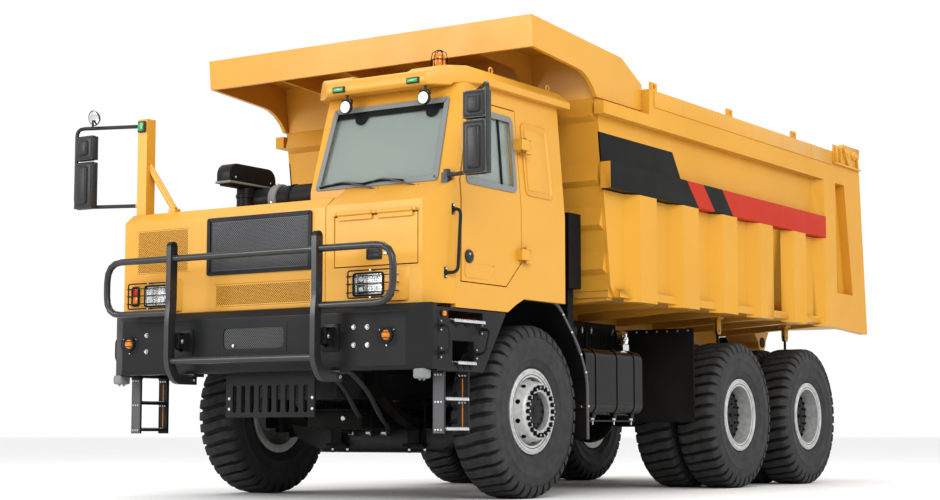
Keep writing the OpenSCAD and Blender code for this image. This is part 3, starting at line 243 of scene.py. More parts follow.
def moulded(name, colour, roughness, dust=0.15):
    """Moulded plastic or rubber with a fine leathery grain."""
    material = finish(name, colour, roughness)
    tune(material, {"Specular IOR Level": 0.2})
    lay_colour(material, settle_dust(material, colour, dust))
    vary_gloss(material, 6.0, roughness - 0.07, roughness + 0.07)
    emboss(material, grain(material, 420.0, 3.0), 0.12, 0.002)
    return material


def bare_metal(name, colour, roughness, stretch=EVEN, scale=30.0, dust=0.1):
    """Bare or silvered metal with fine drawn streaks."""
    material = finish(name, colour, roughness, 1.0)
    streak = grain(material, scale, 4.0, stretch)
    darker = tuple(channel * 0.72 for channel in colour)
    drawn = blend_colour(material, remap(material, streak, 0.3, 0.7, 0.0, 1.0), darker, colour)
    lay_colour(material, settle_dust(material, drawn, dust))
    vary_gloss(material, scale, roughness - 0.08, roughness + 0.1, stretch)
    emboss(material, streak, 0.06, 0.002)
    return material


YELLOW = (0.60, 0.312, 0.044)
DEEP_YELLOW = (0.56, 0.284, 0.038)
STRIPE_BLACK = (0.004, 0.004, 0.004)
STRIPE_RED = (0.42, 0.024, 0.005)
BED_WALL_Y = 1.785
BEAM_LOW, BEAM_HIGH, BEAM_SLANT = 2.758, 3.012, 1.06
BLOCK_HIGH, BLOCK_SLANT = 3.28, 0.72
# From front to rear along the beam: black, red, black, red
STRIPE_CUTS = (-0.836, -2.377, -2.740, -3.168, -5.900)


def between(material, value, low, high):
    """A mask that is one where a value lies between two limits."""
    above = compute(material, "GREATER_THAN", value, low)
    below = compute(material, "LESS_THAN", value, high)
    return compute(material, "MULTIPLY", above, below)


def slanted(material, x, z, top, slant):
    """Where a slanted line through a point reaches the given height."""
    lean = compute(material, "MULTIPLY", compute(material, "SUBTRACT", top, z), slant)
    return compute(material, "ADD", x, lean)


def striped_bed_paint(name):
    """Bed side paint: yellow, with slanted black and red stripes along the beam and a black block above."""
    material = finish(name, YELLOW, 0.34)
    tune(material, {"Specular IOR Level": 0.12})
    axes = add_node(material, "ShaderNodeSeparateXYZ")
    connect(material, place_on_piece(material), axes.inputs["Vector"])
    x, z = axes.outputs["X"], axes.outputs["Z"]
    off_middle = compute(material, "ABSOLUTE", axes.outputs["Y"], 0.0)
    outside = compute(material, "GREATER_THAN", off_middle, BED_WALL_Y)
    on_beam = compute(material, "MULTIPLY", outside, between(material, z, BEAM_LOW, BEAM_HIGH))
    stripe = slanted(material, x, z, BEAM_HIGH, BEAM_SLANT)
    front_end, first, second, third, rear_end = (along(cut) for cut in STRIPE_CUTS)
    front = compute(material, "MULTIPLY", compute(material, "GREATER_THAN", stripe, first),
                    compute(material, "LESS_THAN", x, front_end))
    rear = compute(material, "MULTIPLY", compute(material, "LESS_THAN", stripe, third),
                   compute(material, "GREATER_THAN", x, rear_end))
    red = compute(material, "MAXIMUM", between(material, stripe, second, first), rear)
    black = compute(material, "MAXIMUM", front, between(material, stripe, third, second))
    block_x = slanted(material, x, z, BLOCK_HIGH, BLOCK_SLANT)
    block = compute(material, "MULTIPLY", between(material, z, BEAM_HIGH, BLOCK_HIGH),
                    between(material, block_x, along(-2.27), along(-0.60)))
    block = compute(material, "MULTIPLY", outside, block)
    paint = drifted(material, YELLOW, DEEP_YELLOW)
    paint = blend_colour(material, compute(material, "MULTIPLY", on_beam, red), paint, STRIPE_RED)
    paint = blend_colour(material, compute(material, "MULTIPLY", on_beam, black), paint, STRIPE_BLACK)
    paint = blend_colour(material, block, paint, STRIPE_BLACK)
    lay_colour(material, settle_dust(material, paint, 0.1))
    vary_gloss(material, 3.5, 0.28, 0.42)
    orange_peel(material)
    return material


def tinted_pane(name):
    """Grey-green laminated glass with a trace of dust."""
    material = finish(name, (0.50, 0.57, 0.53), 0.03)
    tune(material, {"Transmission Weight": 0.62, "IOR": 1.45})
    film = remap(material, grain(material, 1.7, 6.0), 0.45, 0.8, 0.0, 0.25)
    lay_colour(material, blend_colour(material, film, (0.48, 0.56, 0.52), (0.56, 0.60, 0.55)))
    vary_gloss(material, 4.0, 0.02, 0.07)
    return material


def lamp_glass(name, colour, clear):
    """Moulded lamp lens with fine upright flutes."""
    material = finish(name, colour, 0.08)
    tune(material, {"Transmission Weight": clear, "IOR": 1.49})
    darker = tuple(channel * 0.78 for channel in colour)
    flutes = grain(material, 60.0, 1.0, (1.0, 3.0, 0.15))
    lay_colour(material, blend_colour(material, flutes, darker, colour))
    emboss(material, flutes, 0.25, 0.004)
    return material


def worn_rubber(name, colour, worn, roughness, dust):
    """Tyre rubber: mottled, chalky where it rubs, dusty in the hollows."""
    material = finish(name, colour, roughness)
    tune(material, {"Specular IOR Level": 0.15})
    mottle = remap(material, grain(material, 14.0, 8.0), 0.35, 0.7, 0.0, 1.0)
    chalk = blend_colour(material, mottle, colour, worn)
    patch = remap(material, grain(material, 3.1, 6.0), 0.4, 0.75, 0.0, dust)
    lay_colour(material, blend_colour(material, patch, chalk, DUST))
    vary_gloss(material, 9.0, roughness - 0.08, roughness + 0.08)
    emboss(material, grain(material, 180.0, 5.0), 0.25, 0.003)
    return material


def mirror_arm_paint(name):
    """Mirror carriers: the post and brace on the hood are yellow, the tubes and heads black."""
    material = finish(name, YELLOW, 0.38)
    axes = add_node(material, "ShaderNodeSeparateXYZ")
    connect(material, place_on_piece(material), axes.inputs["Vector"])
    on_post = compute(material, "MULTIPLY", between(material, axes.outputs["Y"], -1.64, -1.0),
                      between(material, axes.outputs["X"], along(1.40), along(1.558)))
    plastic = blend_colour(material, grain(material, 420.0, 3.0), (0.012, 0.012, 0.013),
                           (0.020, 0.020, 0.021))
    lay_colour(material, blend_colour(material, on_post, plastic, YELLOW))
    vary_gloss(material, 6.0, 0.3, 0.44)
    return material


def seat_cloth(name):
    """Grey seat cover with a fine ribbed weave."""
    material = finish(name, (0.05, 0.052, 0.058), 0.85)
    tune(material, {"Sheen Weight": 0.35})
    weave = add_node(material, "ShaderNodeTexWave", wave_type="BANDS", bands_direction="DIAGONAL")
    weave.inputs["Scale"].default_value = 90.0
    weave.inputs["Distortion"].default_value = 1.2
    connect(material, place_on_piece(material), weave.inputs["Vector"])
    fleck = compute(material, "MULTIPLY", weave.outputs["Fac"], grain(material, 160.0, 2.0))
    lay_colour(material, blend_colour(material, fleck, (0.035, 0.036, 0.040), (0.11, 0.115, 0.125)))
    emboss(material, weave.outputs["Fac"], 0.35, 0.002)
    return material


yellow = sprayed("yellow_paint", YELLOW, DEEP_YELLOW, 0.36, 0.04, 0.1, 0.3)
bed_stripes = striped_bed_paint("bed_stripe_paint")
bed_lining = sprayed("bed_inside_paint", (0.58, 0.300, 0.055), (0.48, 0.26, 0.07), 0.46, 0.2, 0.05, 0.3)
guard_black = sprayed("guard_tube_paint", (0.026, 0.0265, 0.0275), (0.018, 0.0185, 0.0195),
                      0.3, 0.02, 0.1, 0.45)
dark = sprayed("dark_guard_paint", (0.016, 0.0165, 0.0175), (0.011, 0.0115, 0.0125), 0.4, 0.02, 0.0, 0.2)
black_frame = sprayed("chassis_black_paint", (0.006, 0.006, 0.0065), (0.010, 0.010, 0.010),
                      0.48, 0.04, 0.0, 0.10)
grey_engine = sprayed("engine_grey_paint", (0.030, 0.031, 0.033), (0.020, 0.021, 0.022), 0.5, 0.08, 0.05, 0.3)
gloss_black = sprayed("tank_black_paint", (0.005, 0.005, 0.0055), (0.008, 0.008, 0.008),
                      0.22, 0.01, 0.06, 0.2)
fender_black = moulded("fender_black_plastic", (0.007, 0.007, 0.0075), 0.5, 0.04)
fender_grey = moulded("fender_edge_grey", (0.10, 0.10, 0.105), 0.55, 0.04)
steel = bare_metal("machined_steel", (0.62, 0.63, 0.64), 0.28)
chromed = bare_metal("polished_rod", (0.78, 0.79, 0.80), 0.14, (1.0, 1.0, 8.0), 18.0, 0.02)
rim_silver = bare_metal("rim_silver_paint", (0.56, 0.57, 0.57), 0.42, EVEN, 22.0, 0.16)
tune(rim_silver, {"Metallic": 0.3})
ladder_alloy = bare_metal("ladder_alloy", (0.70, 0.71, 0.72), 0.34, (8.0, 1.0, 1.0), 24.0, 0.08)
mesh_black = sprayed("grille_black_paint", (0.004, 0.004, 0.004), (0.007, 0.007, 0.007), 0.7, 0.0, 0.0, 0.1)
mesh_grey = sprayed("grille_mesh_paint", (0.085, 0.086, 0.090), (0.065, 0.066, 0.070), 0.42, 0.03, 0.1, 0.4)
glass = tinted_pane("tinted_glass")
seat_cover = seat_cloth("seat_cover_cloth")
cab_plastic = moulded("cab_grey_plastic", (0.075, 0.077, 0.080), 0.55)
rubber = moulded("black_rubber", (0.008, 0.008, 0.0085), 0.62, 0.05)
seal_grey = moulded("window_seal_grey", (0.20, 0.21, 0.21), 0.6, 0.05)
mirror_black = moulded("mirror_black_plastic", (0.036, 0.0365, 0.038), 0.3, 0.03)
mirror_arm = mirror_arm_paint("mirror_arm_paint")
orange_line = moulded("orange_line_paint", (0.70, 0.26, 0.02), 0.45, 0.05)
mirror_face = bare_metal("mirror_silver", (0.90, 0.91, 0.92), 0.09, EVEN, 2.0, 0.02)
clear_lens = lamp_glass("clear_lamp_lens", (0.90, 0.92, 0.93), 0.55)
amber_lens = lamp_glass("amber_lamp_lens", (0.90, 0.30, 0.02), 0.25)
red_lens = lamp_glass("red_lamp_lens", (0.62, 0.02, 0.015), 0.2)
green_lens = lamp_glass("green_lamp_lens", (0.07, 0.42, 0.16), 0.25)
reflector = bare_metal("lamp_reflector", (0.90, 0.91, 0.92), 0.1, EVEN, 3.0, 0.0)
tread_rubber = worn_rubber("tyre_tread_rubber", (0.032, 0.032, 0.0325), (0.052, 0.052, 0.0525), 0.72, 0.03)
wall_rubber = worn_rubber("tyre_wall_rubber", (0.036, 0.037, 0.039), (0.050, 0.051, 0.053), 0.6, 0.03)

CAD_FINISHES = {
    yellow: ("hood", "cab_shell", "cab_nose", "cab_roof", "cab_door", "front_hatch", "bed_front",
             "bed_underframe", "tailgate"),
    bed_stripes: ("bed_side_left", "bed_side_right"),
    bed_lining: ("bed_floor",),
    dark: ("bumper", "skid_plate", "steps"),
    guard_black: ("guard",),
    black_frame: ("frame", "front_axle", "front_springs", "rear_axles", "rear_suspension", "drive_shafts",
                  "knuckle_left", "knuckle_right", "tie_rod", "hoist_barrels", "cab_rear_unit"),
    grey_engine: ("engine", "radiator"),
    gloss_black: ("fuel_tank", "oil_tank", "air_cleaner"),
    fender_black: ("fenders",),
    chromed: ("hoist_stages", "hoist_rods"),
    mesh_black: ("grilles",),
    glass: ("cab_glass", "door_glass"),
    seat_cover: ("seat",),
    cab_plastic: ("dashboard",),
    rubber: ("mudguards",),
    mirror_arm: ("mirrors",),
    clear_lens: ("lamps",),
    wall_rubber: ("front_tyre_left", "front_tyre_right", "mid_tyres_left", "mid_tyres_right",
                  "rear_tyres_left", "rear_tyres_right"),
    rim_silver: ("front_rim_left", "front_rim_right", "mid_rims_left", "mid_rims_right",
                 "rear_rims_left", "rear_rims_right"),
}
EDGE_ROUND = {"bed_side_left": 0.009, "bed_side_right": 0.009, "bed_front": 0.012, "tailgate": 0.009,
              "bumper": 0.010, "cab_roof": 0.012, "cab_shell": 0.010, "hood": 0.010, "cab_nose": 0.010,
              "front_hatch": 0.006, "cab_door": 0.006, "fuel_tank": 0.012, "oil_tank": 0.012}
SMALL_ROUND = 0.003
SHARP_ANGLE = math.radians(38)
FACET_ANGLE = math.radians(14)


def dress_cad_node(node, material):
    """A node's own finish, with its edges broken by live modifiers; its mesh stays as packed."""
    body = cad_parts[node]
    body.data.materials.clear()
    body.data.materials.append(material)
    for face in body.data.polygons:
        face.use_smooth = True
    weld = body.modifiers.new("join_triangles", "WELD")
    weld.merge_threshold = 0.0002
    edge = body.modifiers.new("broken_edges", "BEVEL")
    edge.limit_method = "ANGLE"
    edge.angle_limit = FACET_ANGLE if node in EDGE_ROUND else SHARP_ANGLE
    edge.width = EDGE_ROUND.get(node, SMALL_ROUND)
    edge.segments = 2
    edge.use_clamp_overlap = True
    even = body.modifiers.new("flat_shading", "WEIGHTED_NORMAL")
    even.keep_sharp = True


for finish_used, nodes in CAD_FINISHES.items():
    for node in nodes:
        dress_cad_node(node, finish_used)


# Shapes

def add_piece(name, shape, finishes, body, crease=40.0):
    """A finished mesh as a piece that rides on a body, smooth up to the crease angle."""
    mesh = bpy.data.meshes.new(name)
    shape.to_mesh(mesh)
    shape.free()
    for used in finishes if isinstance(finishes, (list, tuple)) else (finishes,):
        mesh.materials.append(used)
    for face in mesh.polygons:
        face.use_smooth = True
    mesh.set_sharp_from_angle(angle=math.radians(crease))
    piece = bpy.data.objects.new(name, mesh)
    bpy.context.scene.collection.objects.link(piece)
    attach(piece, body)
    return piece


MERGE_REACH = 0.00002


def new_verts(result):
    """The vertices among what an operator made."""
    return [item for item in result["geom"] if isinstance(item, bmesh.types.BMVert)]


def new_faces(result):
    """The faces among what an operator made."""
    return [item for item in result["geom"] if isinstance(item, bmesh.types.BMFace)]


def faces_on(verts):
    """All faces that touch some vertices."""
    return list({face for v in verts for face in v.link_faces})


def edges_on(verts):
    """All edges that touch some vertices."""
    return list({edge for v in verts for edge in v.link_edges})


def paint_faces(faces, index):
    """Gives faces one of their piece's finishes."""
    for face in faces:
        face.material_index = index


def round_off(shape, parts, offset, segments, affect="EDGES"):
    """Rounds edges, or the corners of a flat face."""
    return bmesh.ops.bevel(shape, geom=parts, offset=offset, offset_type="OFFSET", segments=segments,
                           profile=0.5, affect=affect, material=-1)


def add_loop(shape, spots):
    """A closed loop of edges through some places."""
    ring = [shape.verts.new(spot) for spot in spots]
    return [shape.edges.new(pair) for pair in zip(ring, ring[1:] + ring[:1])]


def turn_to(axis):
    """Turns local +Z to the given axis."""
    return Vector(UP).rotation_difference(Vector(axis)).to_matrix().to_4x4()


def add_turned(shape, outline, spot, axis, steps=32, index=0):
    """A turned part: radius and height pairs spun about an axis, closed to it at open ends."""
    before = set(shape.faces)
    if outline[0] != outline[-1]:
        outline = [(0.0, outline[0][1]), *outline, (0.0, outline[-1][1])]
        outline = [point for point, after in zip(outline, outline[1:] + [None]) if point != after]
    place = Matrix.Translation(spot) @ turn_to(axis)
    points = [shape.verts.new(place @ Vector((radius, 0, height))) for radius, height in outline]
    edges = [shape.edges.new(pair) for pair in zip(points, points[1:])]
    bmesh.ops.spin(shape, geom=points + edges, cent=spot, axis=Vector(axis).normalized(), dvec=(0, 0, 0),
                   angle=math.tau, steps=steps, use_merge=True)
    made = [face for face in shape.faces if face not in before]
    corners = list({v for face in made for v in face.verts})
    bmesh.ops.remove_doubles(shape, verts=corners, dist=MERGE_REACH)
    made = [face for face in shape.faces if face not in before]
    bmesh.ops.recalc_face_normals(shape, faces=made)
    paint_faces(made, index)


def add_block(shape, low, high, rounding=0.003, segments=2, index=0, turn=None):
    """A block between two corners with rounded edges, turned about its own middle."""
    low, high = Vector(low), Vector(high)
    size = high - low
    place = Matrix.Translation((low + high) / 2) @ (turn or Matrix()) @ Matrix.Diagonal((*size, 1.0))
    made = bmesh.ops.create_cube(shape, size=1.0, matrix=place)["verts"]
    paint_faces(faces_on(made), index)
    round_off(shape, edges_on(made), min(rounding, min(size) * 0.45), segments)


def add_side_block(shape, side, x_reach, y_reach, z_reach, rounding=0.003, segments=2, index=0):
    """A rounded block on one side of the truck; y is counted outward."""
    low_y, high_y = beside(side, *y_reach)
    add_block(shape, (along(x_reach[0]), low_y, z_reach[0]), (along(x_reach[1]), high_y, z_reach[1]),
              rounding, segments, index)


def add_rod(shape, start, end, radius, sides=12, index=0, round_ends=0.0):
    """A straight round bar between two points."""
    start, end = Vector(start), Vector(end)
    way = end - start
    place = Matrix.Translation((start + end) / 2) @ turn_to(way)
    made = bmesh.ops.create_cone(shape, cap_ends=True, cap_tris=False, segments=sides, radius1=radius,
                                 radius2=radius, depth=way.length, matrix=place)
    faces = faces_on(made["verts"])
    paint_faces(faces, index)
    if round_ends:
        rims = list({edge for face in faces if len(face.verts) == sides for edge in face.edges})
        round_off(shape, rims, round_ends, 2)


def add_bent_rod(shape, path, radius, sides=10, index=0, closed=False):
    """A bent round bar: a ring carried along a path and bridged from stop to stop."""
    points = [Vector(point) for point in path]
    rings = []
    side = None
    for i, point in enumerate(points):
        ahead = points[(i + 1) % len(points)] if closed or i + 1 < len(points) else point
        behind = points[i - 1] if closed or i else point
        way = (ahead - behind).normalized()
        if side is None:
            side = way.orthogonal().normalized()
        side = (side - way * side.dot(way)).normalized()
        place = Matrix((side, way.cross(side), way)).transposed().to_4x4()
        place.translation = point
        ring = bmesh.ops.create_circle(shape, cap_ends=False, segments=sides, radius=radius,
                                       matrix=place)["verts"]
        rings.append(edges_on(ring))
    pairs = list(zip(rings, rings[1:])) + ([(rings[-1], rings[0])] if closed else [])
    made = []
    for first, second in pairs:
        made += bmesh.ops.bridge_loops(shape, edges=first + second)["faces"]
    if not closed:
        for ring in (rings[0], rings[-1]):
            made += bmesh.ops.contextual_create(shape, geom=ring)["faces"]
    bmesh.ops.recalc_face_normals(shape, faces=made)
    paint_faces(made, index)


def add_hex_nut(shape, spot, axis, across, height, stud=0.0, index=0, stud_index=0):
    """A hexagon nut with a chamfered crown and the end of its stud."""
    spot, axis = Vector(spot), Vector(axis).normalized()
    place = Matrix.Translation(spot + axis * height / 2) @ turn_to(axis)
    made = bmesh.ops.create_cone(shape, cap_ends=True, cap_tris=False, segments=6, radius1=across * 0.577,
                                 radius2=across * 0.577, depth=height, matrix=place)
    faces = faces_on(made["verts"])
    paint_faces(faces, index)
    crown = max((face for face in faces if len(face.verts) == 6),
                key=lambda face: face.calc_center_median().dot(axis))
    round_off(shape, list(crown.edges), across * 0.07, 1)
    if stud:
        add_rod(shape, spot + axis * height, spot + axis * (height + stud), across * 0.27, 8, stud_index)


# Nuts and bolts: width across the flats, height, and how far the stud stands out
WHEEL_NUT = (0.036, 0.024, 0.008)
GUARD_NUT = (0.020, 0.012, 0.006)
PIVOT_NUT = (0.034, 0.018, 0.010)
LINK_NUT = (0.030, 0.016, 0.008)
PANEL_NUT = (0.017, 0.009, 0.003)
MIRROR_NUT = (0.018, 0.010, 0.004)
COVER_NUT = (0.020, 0.010, 0.004)
FLAP_NUT = (0.022, 0.010, 0.004)
DUCT_NUT = (0.016, 0.008, 0.003)
SPRING_NUT = (0.034, 0.026, 0.012)
CLAMP_NUT = (0.022, 0.012, 0.006)
BUMPER_BOLT = (0.028, 0.014, 0.0)
INLET_BOLT = (0.026, 0.014, 0.0)
CAGE_BOLT = (0.014, 0.008, 0.0)
SKID_BOLT = (0.026, 0.013, 0.0)
RAIL_BOLT = (0.016, 0.010, 0.0)
HOOK_BOLT = (0.030, 0.020, 0.0)


def arc(centre, radius, start, end, steps):
    """Points on a flat arc, as pairs."""
    return [(centre[0] + radius * math.cos(math.radians(start + (end - start) * k / steps)),
             centre[1] + radius * math.sin(math.radians(start + (end - start) * k / steps)))
            for k in range(steps + 1)]


def rounded_path(points, reach, steps=5):
    """A path with its corners eased, for bent bars."""
    points = [Vector(point) for point in points]
    path = [points[0]]
    for before, corner, after in zip(points, points[1:], points[2:]):
        first = corner + (before - corner).normalized() * reach
        last = corner + (after - corner).normalized() * reach
        for k in range(steps + 1):
            t = k / steps
            path.append(first * (1 - t) ** 2 + corner * 2 * t * (1 - t) + last * t * t)
    return path + [points[-1]]


# Tyres and wheels

TREAD, WALL = 0, 1
TREAD_FROM = 0.655
TYRE_STEPS = 76
LUGS = 40
LUG_LENGTH = 0.076
LUG_TWIST = -0.10
LUG_STEP = -0.014
LUG_STEP_REACH = 0.08
LUG_FOOT = 0.70
LUG_ROUND = 0.006
LUG_SIDE_FROM = 0.178
TYRE_HALF = [(0.3195, 0.150), (0.3260, 0.1545), (0.3700, 0.1555), (0.3820, 0.172), (0.4100, 0.186),
             (0.4460, 0.199), (0.4500, 0.2035), (0.4560, 0.2040), (0.4600, 0.2025), (0.5050, 0.2115),
             (0.5500, 0.2145), (0.5545, 0.2165), (0.5620, 0.2165), (0.5660, 0.2140), (0.6100, 0.2130),
             (0.6400, 0.2090), (0.6720, 0.1960), (0.6900, 0.1600), (0.6970, 0.1000), (0.6980, 0.0)]
LUG_HALF = [(0.0, 0.7445), (0.080, 0.7443), (0.140, 0.7430), (0.168, 0.7370), (0.190, 0.7160),
            (0.206, 0.6850), (0.2140, 0.6420), (0.196, 0.6440), (0.150, 0.6860), (0.0, 0.6920)]


def add_casing(shape):
    """A tyre's ringed side walls and smooth crown, about the Y axis at the origin."""
    outline = TYRE_HALF + [(r, -y) for r, y in reversed(TYRE_HALF[:-1])]
    ring = [shape.verts.new((r, y, 0)) for r, y in outline]
    chain = [shape.edges.new(pair) for pair in zip(ring, ring[1:] + ring[:1])]
    bmesh.ops.spin(shape, geom=ring + chain, cent=(0, 0, 0), axis=LEFTWARD, dvec=(0, 0, 0), angle=math.tau,
                   steps=TYRE_STEPS, use_merge=True)
    bmesh.ops.remove_doubles(shape, verts=shape.verts[:], dist=MERGE_REACH)
    bmesh.ops.recalc_face_normals(shape, faces=shape.faces[:])
    for face in shape.faces:
        middle = face.calc_center_median()
        face.material_index = TREAD if math.hypot(middle.x, middle.z) > TREAD_FROM else WALL


def lug_start(y):
    """How far back a lug begins at a place across the tread."""
    step = max(-1, min(1, y / LUG_STEP_REACH))
    return LUG_TWIST * y + LUG_STEP * step - LUG_LENGTH / 2


def add_lugs(shape):
    """Stepped crosswise lugs round a casing: one is shaped and then copied about the axis."""
    outline = LUG_HALF + [(-y, r) for y, r in reversed(LUG_HALF[1:-1])]
    ends = [shape.verts.new((lug_start(y), y, r)) for y, r in outline]
    far_ends = new_verts(bmesh.ops.extrude_face_region(shape, geom=[shape.faces.new(ends)]))
    bmesh.ops.translate(shape, verts=far_ends, vec=(LUG_LENGTH, 0, 0))
    upper = [edge for group in (ends, far_ends) for edge in edges_on(group)
             if all(v in group and v.co.z > LUG_FOOT for v in edge.verts)]
    rounded = round_off(shape, upper, LUG_ROUND, 1)
    verts = list({v for v in ends + far_ends if v.is_valid} | set(rounded["verts"]))
    faces = faces_on(verts)
    bmesh.ops.recalc_face_normals(shape, faces=faces)
    for face in faces:
        face.material_index = WALL if abs(face.calc_center_median().y) > LUG_SIDE_FROM else TREAD
    edges = list({edge for face in faces for edge in face.edges})
    bmesh.ops.spin(shape, geom=verts + edges + faces, cent=(0, 0, 0), axis=LEFTWARD, dvec=(0, 0, 0),
                   angle=math.tau * (LUGS - 1) / LUGS, steps=LUGS - 1, use_duplicate=True)


def tyre_mesh():
    """One tyre at the origin, to be copied to each wheel."""
    shape = bmesh.new()
    add_casing(shape)
    add_lugs(shape)
    mesh = bpy.data.meshes.new("tyre_pattern")
    shape.to_mesh(mesh)
    shape.free()
    return mesh


one_tyre = tyre_mesh()
FRONT_TYRE_Y = 1.400
TWIN_MIDDLE_Y = 1.3715
TWIN_HALF = 0.2425


def fit_tyres(node, body, x, places):
    """Treaded tyres in the place of a tyre node, at some places across the truck."""
    shape = bmesh.new()
    for y in places:
        start = len(shape.verts)
        shape.from_mesh(one_tyre)
        shape.verts.ensure_lookup_table()
        bmesh.ops.translate(shape, verts=shape.verts[start:], vec=(x, y, HUB_HEIGHT))
    piece = add_piece(node + "_treaded", shape, (tread_rubber, wall_rubber), body, 34.0)
    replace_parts(piece, node)


def round_axle(count, radius, start=0.0):
    """Places evenly round an axle, from a start in parts of one step."""
    return [Matrix.Rotation(math.tau * (k + start) / count, 3, "Y") @ Vector((radius, 0, 0))
            for k in range(count)]


NUTS = 22


def add_rim_rings(shape, hub, out, middle, bright, shadow):
    """Rolled bead on a rim's flange, and inside it a thin flat ring in a dark finish: painted shade that stands in for
    a groove.
    """
    add_turned(shape, [(0.338, middle + 0.172), (0.338, middle + 0.182), (0.342, middle + 0.188),
                       (0.350, middle + 0.189), (0.356, middle + 0.184), (0.356, middle + 0.172),
                       (0.338, middle + 0.172)], hub, out, 72, bright)
    # Painted shade: a thin black ring raised on the flange, in place of a shaded groove
    add_turned(shape, [(0.314, middle + 0.168), (0.314, middle + 0.1748), (0.320, middle + 0.1758),
                       (0.320, middle + 0.168), (0.314, middle + 0.168)], hub, out, 72, shadow)


def dress_front_wheel(side, word):
    """Dish, black hub cap and ring of wheel nuts on a front wheel."""
    out = Vector((0, side, 0))
    hub = Vector((FRONT_AXLE, side * FRONT_TYRE_Y, HUB_HEIGHT))
    dish = bmesh.new()
    add_turned(dish, [(0.160, 0.145), (0.300, 0.086), (0.300, 0.096), (0.292, 0.108), (0.268, 0.170),
                      (0.251, 0.222), (0.245, 0.238), (0.235, 0.247), (0.172, 0.249), (0.167, 0.244),
                      (0.166, 0.150), (0.160, 0.145)], hub, out, 64)
    # Painted shade: black discs on the dish where its hand holes are, in place of the dark seen through open holes
    for hand_hole_way in round_axle(10, 1.0, 0.5):
        add_turned(dish, [(0.0, -0.010), (0.021, -0.010), (0.021, 0.0015), (0.019, 0.0022), (0.0, 0.0022)],
                   hub + hand_hole_way * 0.2635 + out * 0.183, hand_hole_way * 0.94 + out * 0.34, 16, 1)
    add_rim_rings(dish, hub, out, 0.0, 0, 1)
    add_piece(f"front_wheel_dish_{word}", dish, (rim_silver, mesh_black), f"front_wheel_{word}")
    cap = bmesh.new()
    add_turned(cap, [(0.0, 0.150), (0.1665, 0.150), (0.1680, 0.170), (0.160, 0.182), (0.146, 0.186),
                     (0.140, 0.206), (0.132, 0.2135), (0.060, 0.2135), (0.054, 0.2190), (0.020, 0.2205),
                     (0.0, 0.2207)], hub, out, 48)
    for spot in round_axle(10, 0.114):
        add_hex_nut(cap, hub + spot + out * 0.2110, out, 0.020, 0.010)
    add_piece(f"front_hub_cap_{word}", cap, gloss_black, f"front_wheel_{word}")
    nuts = bmesh.new()
    for spot in round_axle(NUTS, 0.206):
        add_hex_nut(nuts, hub + spot + out * 0.248, out, *WHEEL_NUT, 0, 1)
    add_piece(f"front_wheel_nuts_{word}", nuts, (black_frame, steel), f"front_wheel_{word}",
              30.0)


def dress_twin_hub(word, side, pair, axle):
    """Hub drum deep in a twin wheel's outer rim, with its cover bolts and drain plug; its near-black paint is partly
    the hub's own colour and partly painted shade for the shadow deep in the rim.
    """
    out = Vector((0, side, 0))
    hub = Vector((axle, side * TWIN_MIDDLE_Y, HUB_HEIGHT))
    drum = bmesh.new()
    # The drum's near-black paint is partly painted shade, for the shadow deep inside the rim
    add_turned(drum, [(0.0, 0.098), (0.282, 0.098), (0.282, 0.250), (0.276, 0.266), (0.262, 0.274),
                      (0.232, 0.276), (0.226, 0.284), (0.160, 0.288), (0.150, 0.306), (0.138, 0.314),
                      (0.070, 0.316), (0.064, 0.310), (0.0, 0.309)], hub, out, 64)
    for radius, count, across, face in ((0.247, 20, 0.026, 0.275), (0.112, 8, 0.020, 0.315)):
        for spot in round_axle(count, radius):
            add_hex_nut(drum, hub + spot + out * face, out, across, 0.014, 0.006, 1, 1)
    add_turned(drum, [(0.022, 0.306), (0.022, 0.322), (0.017, 0.326), (0.0, 0.326)], hub, out, 16, 1)
    add_rim_rings(drum, hub, out, TWIN_HALF, 2, 1)
    add_piece(f"{pair}_hub_drum_{word}", drum, (dark, black_frame, rim_silver), f"{pair}_wheels_{word}")


for word, side in SIDES:
    fit_tyres(f"front_tyre_{word}", f"front_wheel_{word}", FRONT_AXLE, (side * FRONT_TYRE_Y,))
    for pair, axle in (("mid", MID_AXLE), ("rear", REAR_AXLE)):
        fit_tyres(f"{pair}_tyres_{word}", f"{pair}_wheels_{word}", axle,
                  (side * (TWIN_MIDDLE_Y - TWIN_HALF), side * (TWIN_MIDDLE_Y + TWIN_HALF)))
        dress_twin_hub(word, side, pair, axle)
    dress_front_wheel(side, word)


# Plates, borders and perforated sheets

def add_plate(shape, outline, across, low, high, index=0, rounding=0.0):
    """A plate cut to an outline, square to one axis and between two places on it."""
    spread = {"x": lambda a, b: (low, a, b),
              "y": lambda a, b: (a, low, b),
              "z": lambda a, b: (a, b, low)}[across]
    corners = [shape.verts.new(spread(*point)) for point in outline]
    grown = new_verts(bmesh.ops.extrude_face_region(shape, geom=[shape.faces.new(corners)]))
    bmesh.ops.translate(shape, verts=grown, vec=[high - low if axis == across else 0.0 for axis in "xyz"])
    faces = faces_on(corners + grown)
    bmesh.ops.recalc_face_normals(shape, faces=faces)
    paint_faces(faces, index)
    if rounding:
        round_off(shape, list({edge for face in faces for edge in face.edges}), rounding, 2)


def thicken(shape, faces, step):
    """Gives a flat sheet of faces its thickness and closes it."""
    grown = new_verts(bmesh.ops.extrude_face_region(shape, geom=faces))
    bmesh.ops.translate(shape, verts=grown, vec=step)
    made = list(set(faces_on(grown)) | set(faces))
    bmesh.ops.recalc_face_normals(shape, faces=made)


